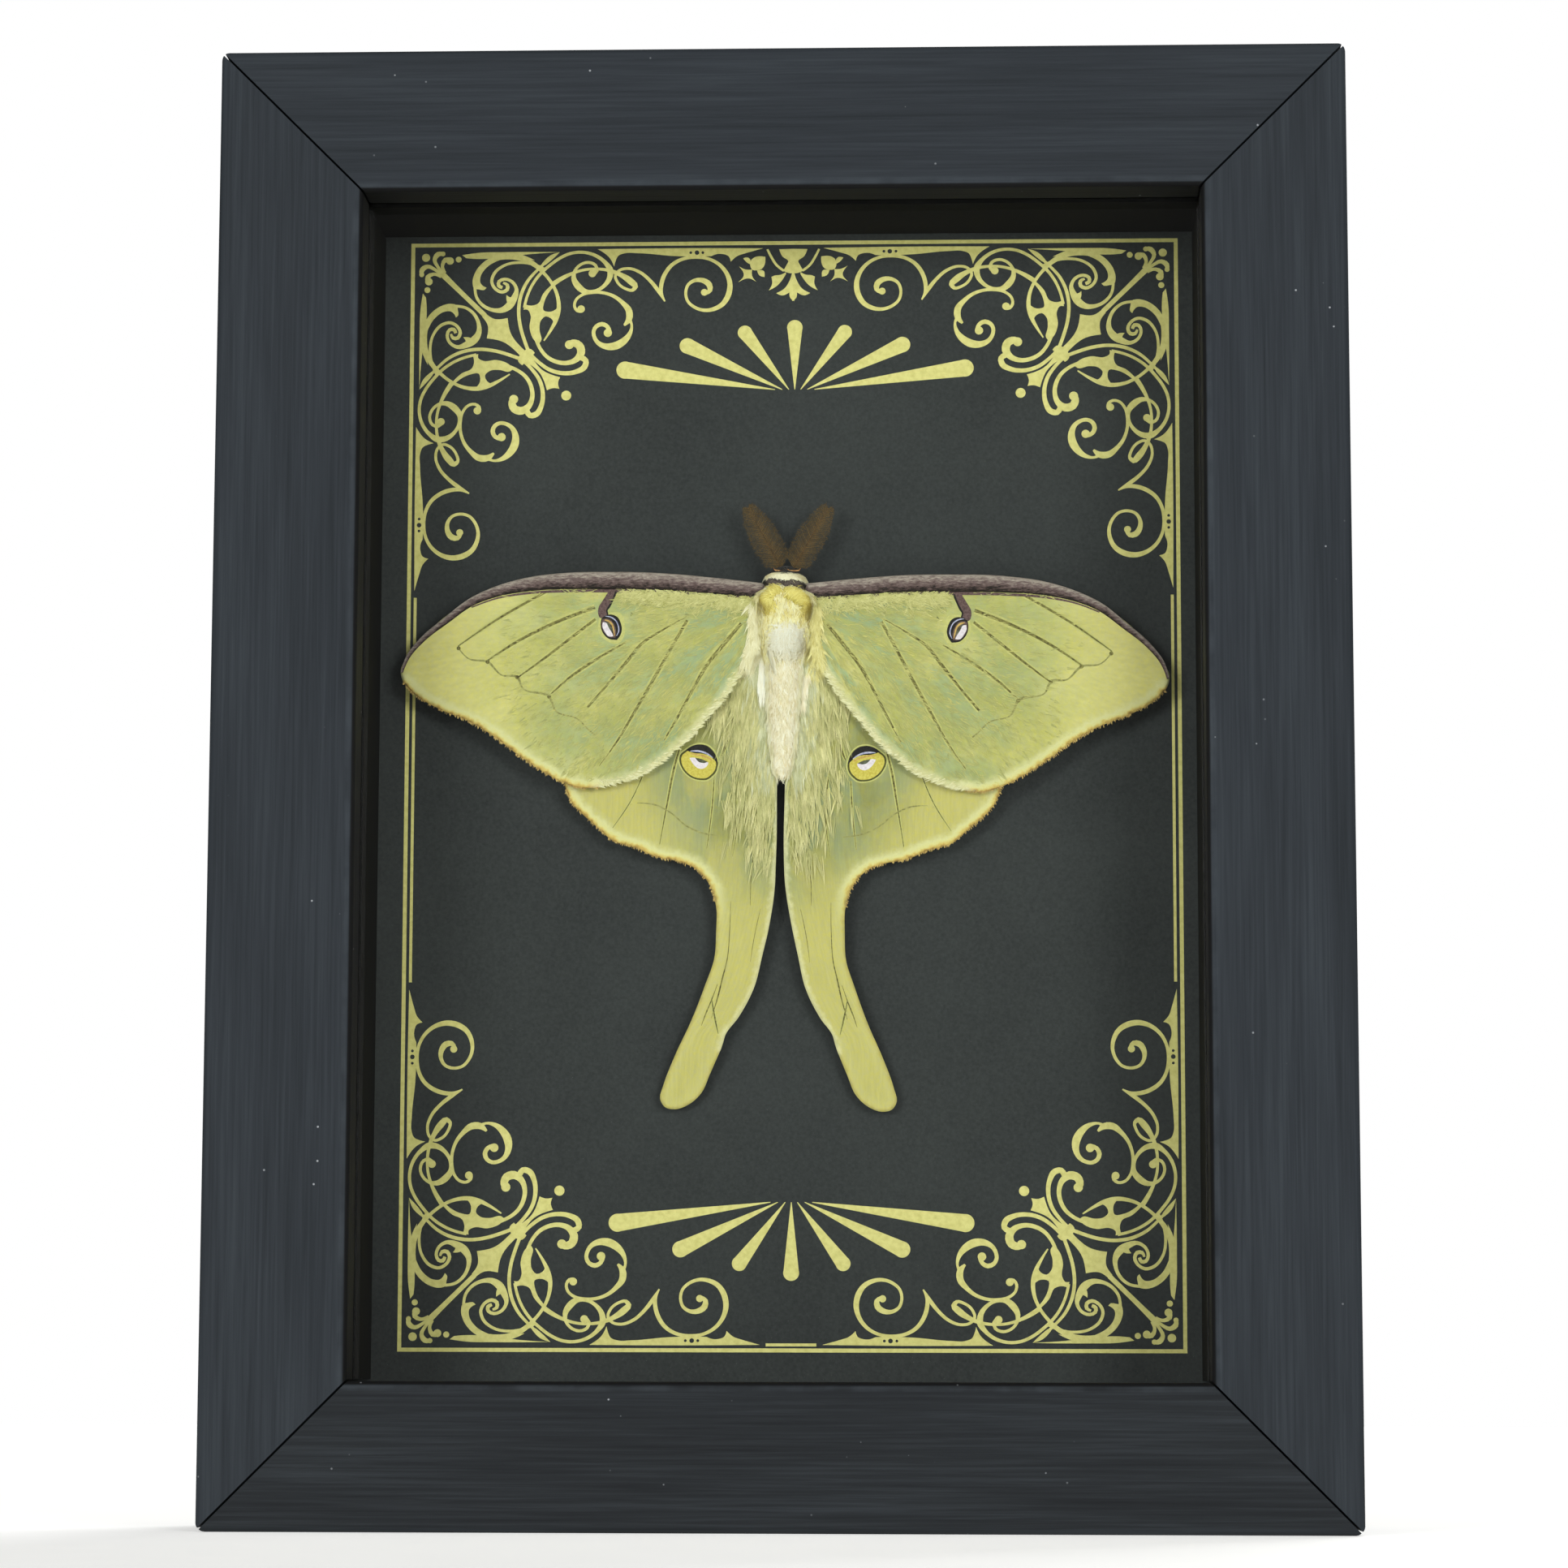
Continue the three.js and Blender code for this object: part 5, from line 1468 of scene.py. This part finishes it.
# The last number of a fur is its glow, which is painted light.
cream_fur = hair_finish("abdomen fur, cream", "#D2C28E", "#F8F0D0", "#EEE0B6", "#FFFAE6", 0.045)
white_fur = hair_finish("flank fur, white", "#DDD39E", "#F8F1CE", "#EEE6BC", "#FFFCE4", 0.08)
pale_fur = hair_finish("thorax fur, pale yellow", "#BFAA58", "#F9F0B4", "#EDDF94", "#FFFCD8", 0.06)
lobe_fur = hair_finish("shoulder fur, bright yellow", "#96822A", "#F0DF72", "#E0CE5C", "#FFF6A6", 0.05)
patch_fur = hair_finish("back fur, ivory white", "#DDD3AC", "#FFFBEA", "#FAF3DC", "#FFFFF6", 0.05)
collar_fur = hair_finish("collar fur, cream", "#DCD2A8", "#F8F2D8", "#F0E8CA", "#FFFCEE", 0.08)
band_fur = hair_finish("neck band, maroon-grey hair", "#2A231E", "#52463F", "#4E4239", "#7E7068")
# Black-brown head hair: painted shade, like the head's skin.
head_shade_fur = hair_finish("head, black-brown hair", "#14120F", "#29251F", "#221F1A", "#3B352C")

coat("abdomen_fur", 8000, -21.5, -3.4, 1.5, 0.95, 0.12, cream_fur, 0.18, on_back)
coat("flank_fur", 7000, -21.4, -3.8, 2.0, 1.7, 0.12, white_fur, 0.16, on_flank)
coat("thorax_fur", 11000, -5.0, 5.6, 2.0, 1.15, 0.12, pale_fur, 0.25, on_thorax)
coat("head_shade_fur", 1500, 7.3, 8.5, 2.4, 0.5, 0.12, head_shade_fur, 0.3, on_crown)
print("short fur done")

# %% [markdown]
# ## Locks of hair
#
# Longer hair hangs together in locks, which is what makes fur look shaggy. Each lock
# gets one way and one tone, and its hairs draw together at the tip. A ray is dropped
# at every root to find the skin or the wing under it and how that surface slopes.

# %% Growing locks on skin and wings
def surface_under(pieces):
    """A tree of the faces of some pieces, to find the surface at a place."""
    points, faces = [], []
    for piece in pieces:
        start = len(points)
        points += [v.co.copy() for v in piece.data.vertices]
        faces += [tuple(start + i for i in p.vertices) for p in piece.data.polygons]
    return BVHTree.FromPolygons(points, faces)


def drop(tree, spots):
    """Where rays from the front meet the tree: heights above the card, and slopes."""
    heights, slopes = [], []
    for x, _, z in on_card(np.column_stack([spots, np.zeros(len(spots))])):
        place, normal, _, _ = tree.ray_cast(Vector((x * MM, -1.0, z * MM)), Vector((0, 1, 0)))
        heights.append(np.nan if place is None else CARD_FACE - place.y / MM)
        slopes.append((0, 0, 1) if normal is None else (normal.x, normal.z, abs(normal.y)))
    return np.array(heights), np.array(slopes)


def grow(name, area, count, way, length, width, lift, material, tree, lock=6, spread=0.22, stray=0.14,
         draw=0.7, avoid=()):
    """Locks of hair inside an outline, or at given lock roots. way is a vector or a function."""
    if callable(area):
        centres = area(count // lock)
    else:
        centres = rng.uniform(area.min(0), area.max(0), (count, 2))
        centres = centres[inside(centres, area)][: count // lock]
    ways = way(centres) if callable(way) else np.tile(way, (len(centres), 1))
    ways = np.asarray(ways, float)
    ways = ways / np.hypot(*ways.T)[:, None] + rng.normal(0, stray, centres.shape)
    tones = rng.normal(0.5, 0.24, len(centres))
    sizes = length * rng.uniform(0.65, 1.25, len(centres))
    centres, ways, tones, sizes = (np.repeat(v, lock, axis=0) for v in (centres, ways, tones, sizes))
    offset = rng.normal(0, spread, centres.shape)
    spots = centres + offset
    heights, slopes = drop(tree, spots)
    keep = ~np.isnan(heights)
    for x, y, radius in avoid:
        keep &= np.hypot(np.abs(spots[:, 0]) - x, spots[:, 1] - y) > radius
    spots, ways, tones, sizes, offset, heights, slopes = (v[keep] for v in (spots, ways, tones, sizes,
            offset, heights, slopes))
    n = len(spots)
    ways = ways - offset * draw / sizes[:, None]
    flat_way = np.column_stack([ways, np.zeros(n)])
    slopes = unit(slopes)
    flat_way -= slopes * (flat_way * slopes).sum(1)[:, None]
    lie = unit(flat_way) + slopes * lift
    sizes = sizes * rng.uniform(0.85, 1.1, n)
    tones = np.clip(tones + rng.normal(0, 0.1, n), 0, 1)
    roots = np.column_stack([spots, heights + 0.02])
    piece = hairs(name, roots, lie, slopes, sizes, width * rng.uniform(0.7, 1.25, n), 0.06 * sizes, tones,
                  material)
    return piece


def curl(centre, turn):
    """Ways that circle a centre, as the hair of a shoulder pad does."""

    def ways(spots):
        off = spots - centre
        return np.column_stack([off[:, 1], -off[:, 0]]) * turn + off * 0.15

    return ways


def down_and_out(spread, down=1.0, middle=0.0):
    """Ways that run down the body and open out to both sides of its middle."""

    def ways(spots):
        return np.column_stack([(spots[:, 0] - middle) * spread, np.full(len(spots), -down)])

    return ways


whole = surface_under([skin] + list(wings.values()))
on_skin = surface_under([skin])
grow("shoulder_fur_left", left_lobe_area, 3000, curl((-1.6, 3.2), -1.0), 1.1, 0.12, 0.4, lobe_fur, on_skin,
     spread=0.3, avoid=[(-x, y, r) for x, y, r in lobe_hole[:2]])
grow("shoulder_fur_right", right_lobe_area, 3400, curl((2.0, 1.6), 1.0), 1.1, 0.12, 0.4, lobe_fur, on_skin,
     spread=0.3, avoid=lobe_hole[2:])
grow("back_patch_fur", patch_area, 3200, down_and_out(0.6, middle=1.0), 1.2, 0.12, 0.3, patch_fur, on_skin,
     spread=0.55, stray=0.45)
grow("neck_band_fur", band_area, 3000, down_and_out(0.7, down=0.3), 0.7, 0.12, 0.3, band_fur, whole,
     spread=0.15)
grow("collar_fur", collar_area, 2600, down_and_out(0.3), 0.42, 0.12, 0.4, collar_fur, on_skin,
     spread=0.12)
print("body locks done")

# %% [markdown]
# ## Long hair on the wings
#
# Long pale hair springs from the wing roots and lies down along the abdomen and over
# the inner part of the hindwings. Yellow down spreads from behind the costa, and fine
# short hairs lie all over the forewings. A cream fringe edges the inner margin, and
# short ochre scales make the outer margin ragged.

# %% Hair on the wings
fringe_hair = hair_finish("wing fringe, cream hair", "#CFC78A", "#E4DDA8", "#DCD59C", "#F2EDC4")
tousled_hair = hair_finish("tousled hair behind the costa, yellow", "#A9A65A", "#D6D084", "#C3BE70",
                           "#EAE4A2")
olive_flecks = hair_finish("flecks of dark olive scales", "#5E6236", "#7F8452", "#6B7043", "#8F9362")
rim_hair = hair_finish("outer fringe, ochre scales", "#94743E", "#C8A45A", "#A98648", "#DDC176")
hind_hair = hair_finish("hindwing hair, yellow-green", "#A5A668", "#D8CE86", "#BDBA78", "#EFE6AA")
ivory_hair = hair_finish("wing root hair, ivory", "#D2C88F", "#F0E8BC", "#E4DBA9", "#FDF8DA", 0.06)
grey_green_hair = hair_finish("hair beside the abdomen, pale green", "#A9AC78", "#D8D6A4", "#BEBF8E",
                              "#ECE9C4")
butter_hair = hair_finish("wing root hair, butter yellow", "#BDAE5C", "#EADF90", "#DDD07E", "#FAF2B4", 0.03)
down_hair = hair_finish("forewing down, green and yellow", "#A4A669", "#C8C171", "#AEAF72", "#D6CE7C")


def beside(points, depth, scatter):
    """Gives random places near a line, set in by depth, for grow."""
    line = through(points, 0.2)
    ahead = np.gradient(line, axis=0)
    ahead /= np.hypot(*ahead.T)[:, None]
    inward = np.column_stack([ahead[:, 1], -ahead[:, 0]])

    def places(count):
        pick = rng.integers(0, len(line), count)
        return (line + inward * depth)[pick] + rng.normal(0, scatter, (count, 2))

    return places


def mirrored(side, find):
    """The same places or ways on the other side of the body."""

    def found(given):
        own = given if np.isscalar(given) else given * (side, 1)
        return find(own) * (side, 1)

    return found


def off_line(points, forward=0.5):
    """Ways that point outward from a line, leaning forward along it."""
    line = through(points, 0.4)
    ahead = np.gradient(line, axis=0)
    ahead /= np.hypot(*ahead.T)[:, None]
    outward = np.column_stack([-ahead[:, 1], ahead[:, 0]])

    def ways(spots):
        nearest = np.argmin(((spots[:, None] - line[None]) ** 2).sum(2), axis=1)
        return outward[nearest] + ahead[nearest] * forward

    return ways


def outward(spots):
    """Away from the root of the forewing."""
    return spots - (0.5, 3.4)


def back_from_costa(spots):
    """Backward across the wing, from a point well ahead of the costa."""
    return spots - (0.0, 9.0)


def behind_costa(count):
    """Places just behind the costa, from the body to the eyespot."""
    x = rng.uniform(4.0, 23.0, count)
    return np.column_stack([x, np.interp(x, [4, 13, 23], [3.6, 4.2, 4.6]) - np.abs(rng.normal(0, 1.0,
            count))])


def inner_hindwing(count):
    """Places on the hindwing near the body, thinning out away from it and down the tail."""
    down = 1 - rng.uniform(0, 1, count) ** 0.5
    return np.column_stack([np.abs(rng.normal(0, 4.8, count) * (1 - 0.5 * down)) + 1.2, -4.0 - 31.0 * down])


def beside_abdomen(count):
    """Places on the hindwing close along the abdomen."""
    down = rng.uniform(0, 1, count) ** 1.6
    return np.column_stack([np.abs(rng.normal(0, 1.2, count)) + 2.2 - 1.0 * down, -4.0 - 18.0 * down])


def over_forewing(count):
    """Places over the forewing, thinning out toward its tip."""
    spots = rng.uniform(fore_edge.min(0), fore_edge.max(0), (count * 4, 2))
    spots = spots[inside(spots, fore_edge)]
    spots = spots[spots[:, 0] < rng.uniform(20.0, 42.0, len(spots))]
    return spots[distance_to(spots, np.vstack([fore_edge, fore_edge[:1]])) > 1.4][:count]


EYES = [(ALMOND[0], ALMOND[1], 3.0), (25.4, 3.0, 1.4), (24.9, 4.6, 1.4)]
BELOW_EYE = [(ROUND[0], ROUND[1] + up, 3.1) for up in (0.0, 1.6, 3.2)]
for side, hand in SIDES:
    fore, hind = surface_under([wings["forewing_" + hand]]), surface_under([wings["hindwing_" + hand]])
    grow("down_" + hand, mirrored(side, over_forewing), 4200, mirrored(side, outward), 1.0, 0.10, 0.03,
         down_hair, fore, lock=3, spread=0.3, avoid=EYES)
    grow("costa_down_" + hand, mirrored(side, behind_costa), 2600, mirrored(side, back_from_costa), 1.0,
         0.10, 0.14, tousled_hair, fore, lock=4, spread=0.2, stray=0.6)
    grow("flecks_" + hand, mirrored(side, behind_costa), 150, mirrored(side, outward), 0.5, 0.14, 0.16,
         olive_flecks, fore, lock=2, spread=0.12, stray=0.5)
    grow("fringe_" + hand, mirrored(side, beside(fore_inner[:-1], 0.15, 0.3)), 2000,
         mirrored(side, off_line(fore_inner[:-1], 1.3)), 0.7, 0.10, 0.04, fringe_hair, fore, lock=4,
         spread=0.12)
    grow("rim_" + hand, mirrored(side, beside(fore_margin, -0.1, 0.05)), 1500,
         mirrored(side, off_line(fore_margin, 0.5)), 0.36, 0.13, 0.02, rim_hair, fore, lock=2,
         spread=0.08)
    grow("hind_rim_" + hand, mirrored(side, beside(hind_margin[:11], -0.1, 0.05)), 1300,
         mirrored(side, off_line(hind_margin[:11], 0.5)), 0.34, 0.13, 0.02, rim_hair, hind, lock=2,
         spread=0.08)
    grow("hindwing_hair_" + hand, mirrored(side, inner_hindwing), 6000, (side * 0.10, -1.0), 3.2, 0.09, 0.03,
         hind_hair, hind, lock=6, spread=0.22, avoid=BELOW_EYE)
    grow("hindwing_ivory_" + hand, mirrored(side, beside_abdomen), 2400, (side * 0.08, -1.0), 3.0, 0.10,
         0.06, grey_green_hair, hind, lock=6, spread=0.2, stray=0.1, avoid=BELOW_EYE)

left_tuft = np.array([(-4.9, 3.0), (-3.5, 3.2), (-3.2, -3.0), (-3.9, -5.6), (-5.9, -6.4), (-4.6, -1.0)])
right_tuft = np.array([(3.6, 2.8), (5.0, 2.8), (5.0, -2.0), (5.5, -5.0), (4.6, -6.6), (3.2, -5.6),
                       (3.9, -1.5)])
left_side = np.array([(-2.9, -2.4), (-2.0, -2.6), (-2.3, -6.4), (-2.2, -9.0), (-3.2, -9.0), (-3.4, -6.0)])
right_side = np.array([(2.4, -5.0), (3.4, -5.4), (3.0, -11.0), (2.2, -11.0)])
grow("root_tuft_left", left_tuft, 2000, (-0.1, -1.0), 1.9, 0.11, 0.16, ivory_hair, whole, lock=6,
     spread=0.26, stray=0.26)
grow("root_tuft_right", right_tuft, 2000, (0.1, -1.0), 1.9, 0.11, 0.16, butter_hair, whole, lock=6,
     spread=0.26, stray=0.26)
grow("side_lock_left", left_side, 1300, (-0.05, -1.0), 3.2, 0.12, 0.14, patch_fur, whole, lock=8,
     spread=0.16, stray=0.05)
grow("side_lock_right", right_side, 700, (0.10, -1.0), 2.4, 0.12, 0.14, cream_fur, whole, lock=8,
     spread=0.16, stray=0.05)
print("wing hair done")

# %% [markdown]
# ## The antennae
#
# A male moth's antenna is a feather: a thin shaft with a comb of long barbs on each
# side, and each barb is fringed with cilia too fine to count. Shaft and barbs are
# modelled. The cilia become a second, shorter row of hairs along every barb, drawn
# coarser than life so that the feather looks downy.

# %% Sizes and finishes of the antennae
ANTENNA_LENGTH = 10.4  # mm, and so are the sizes below
ANTENNA_HALF_WIDTH = 2.25
ANTENNA_HEIGHT = 4.4  # above the card
ANTENNA_TURN = math.radians(28.7)
ANTENNA_ROOT = np.array((0.7, 7.75))
HEAD_MIDDLE = 0.3  # the head sits a little to the right of the body's middle
BARBS, CILIA = 42, 15  # barbs on each side of the shaft, and cilia on a barb
BARB_WIDTH, CILIUM_WIDTH, CILIUM_LENGTH = 0.12, 0.07, 0.42

# Bare horn is smooth and half glossy, and downy barbs give the eye a dull brown veil.
barb_hair = hair_finish("antenna barbs, ochre-brown", "#483718", "#6E5226", "#3C301A", "#5E4C2A")
shaft_horn = scale_cover("antenna shaft, brown horn", "#3C2E18", "#604828", 0.4)
print("barbs:", 4 * BARBS, "cilia:", 4 * BARBS * CILIA)


# %% Barbs and cilia
def feather(side):
    """The roots, ways and lengths of the barbs and cilia of one antenna."""
    roots, ways, lengths, widths, tones = [], [], [], [], []
    axis = np.array((math.sin(ANTENNA_TURN), math.cos(ANTENNA_TURN)))
    beside = np.array((axis[1], -axis[0]))
    for i in range(BARBS):
        t = 0.05 + 0.93 * i / (BARBS - 1)
        half_width = ANTENNA_HALF_WIDTH * math.sin(math.pi * min(1.0, t * 0.72 + 0.25)) ** 0.6
        for hand in (-1, 1):
            foot = ANTENNA_ROOT + axis * ANTENNA_LENGTH * t
            way = beside * hand + axis * (0.55 + 0.35 * t)
            way = way / np.hypot(*way)
            size = half_width / 0.86
            roots.append((*foot, ANTENNA_HEIGHT))
            ways.append((*way, -0.1))
            lengths.append(size)
            widths.append(BARB_WIDTH)
            tones.append(rng.uniform(0.2, 1.0))
            for _ in range(CILIA):
                s = rng.uniform(0.05, 0.95)
                spot = foot + way * size * s
                tilt = rng.choice((-1, 1))
                cilium = way * 0.8 + np.array((-way[1], way[0])) * tilt * 0.7
                roots.append((*spot, ANTENNA_HEIGHT - 0.1 * s * size + rng.normal(0, 0.06)))
                ways.append((*cilium, rng.normal(0, 0.2)))
                lengths.append(CILIUM_LENGTH * rng.uniform(0.6, 1.2))
                widths.append(CILIUM_WIDTH)
                tones.append(rng.uniform(0.0, 0.8))
    roots, ways = np.array(roots), np.array(ways)
    roots[:, 0] = roots[:, 0] * side + HEAD_MIDDLE
    ways[:, 0] *= side
    return roots, ways, np.array(lengths), np.array(widths), np.array(tones)


def tube_faces(rings, around):
    """Four-sided faces between rings of points, and a cap on each end."""
    faces = []
    for i in range(0, (rings - 1) * around, around):
        for k in range(around):
            a, b = i + k, i + (k + 1) % around
            faces.append((a, b, b + around, a + around))
    faces.append(tuple(reversed(range(around))))
    faces.append(tuple(range((rings - 1) * around, rings * around)))
    return faces


def rod(centres, out, thick, around):
    """Rings of points round a line of centres. out is the way across the line, flat on the card."""
    points = []
    for (x, y, height), size in zip(centres, thick):
        for k in range(around):
            angle = k / around * math.tau
            reach = math.cos(angle) * size / 2
            points.append((x + out[0] * reach, y + out[1] * reach, height + math.sin(angle) * size / 2))
    return points


print("hairs on one antenna:", 2 * BARBS * (1 + CILIA))

# %% Antennae
AROUND_SHAFT, SHAFT_STEPS = 6, 24
for side, hand in SIDES:
    roots, ways, lengths, widths, tones = feather(side)
    outs = np.tile((0.0, 0.0, 1.0), (len(roots), 1))
    comb = hairs("antenna_barbs_" + hand, roots, ways, outs, lengths, widths, 0.05 * lengths, tones,
                 barb_hair)
    axis = np.array((math.sin(ANTENNA_TURN) * side, math.cos(ANTENNA_TURN)))
    foot = ANTENNA_ROOT * (side, 1) + (HEAD_MIDDLE, 0)
    shares = np.arange(SHAFT_STEPS + 1) / SHAFT_STEPS
    centres = [(*(foot + axis * ANTENNA_LENGTH * t), ANTENNA_HEIGHT) for t in shares]
    points = rod(centres, (axis[1], -axis[0]), 0.22 * (1 - shares) ** 0.7 + 0.05, AROUND_SHAFT)
    faces = tube_faces(SHAFT_STEPS + 1, AROUND_SHAFT)
    shaft = make_piece("antenna_shaft_" + hand, on_card(points), faces, [shaft_horn])
    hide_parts("antenna_" + hand)
print("barbs and cilia:", len(roots))

# %% The sockets of the antennae
# Each antenna stands in a shallow cup with a raised amber rim, which shows as an arc.
socket_horn = scale_cover("antenna socket, amber horn", "#8E5E34", "#D9A56C", 0.3)
SOCKET_ARC = [(-0.95, 0.36), (-0.8, 0.08), (-0.4, 0.0), (0.3, 0.0), (0.72, 0.06), (0.86, 0.2)]
SOCKET_X, SOCKET_Y, SOCKET_HEIGHT = 0.95, 7.66, 4.95  # mm
SOCKET_RIM, AROUND_RIM = 0.2, 8  # mm thick, and the corners round it
for side, hand in SIDES:
    middle = HEAD_MIDDLE + SOCKET_X * side
    arc = through([(middle - x * side, SOCKET_Y + y) for x, y in SOCKET_ARC], 0.12)
    centres = [(x, y, SOCKET_HEIGHT) for x, y in arc]
    points = rod(centres, (0.0, 1.0), [SOCKET_RIM] * len(arc), AROUND_RIM)
    faces = tube_faces(len(arc), AROUND_RIM)
    rim = make_piece("antenna_socket_" + hand, on_card(points), faces, [socket_horn])
print("points along a socket's rim:", len(arc))

# %% [markdown]
# ## End
#

# %% End
print("script finished")
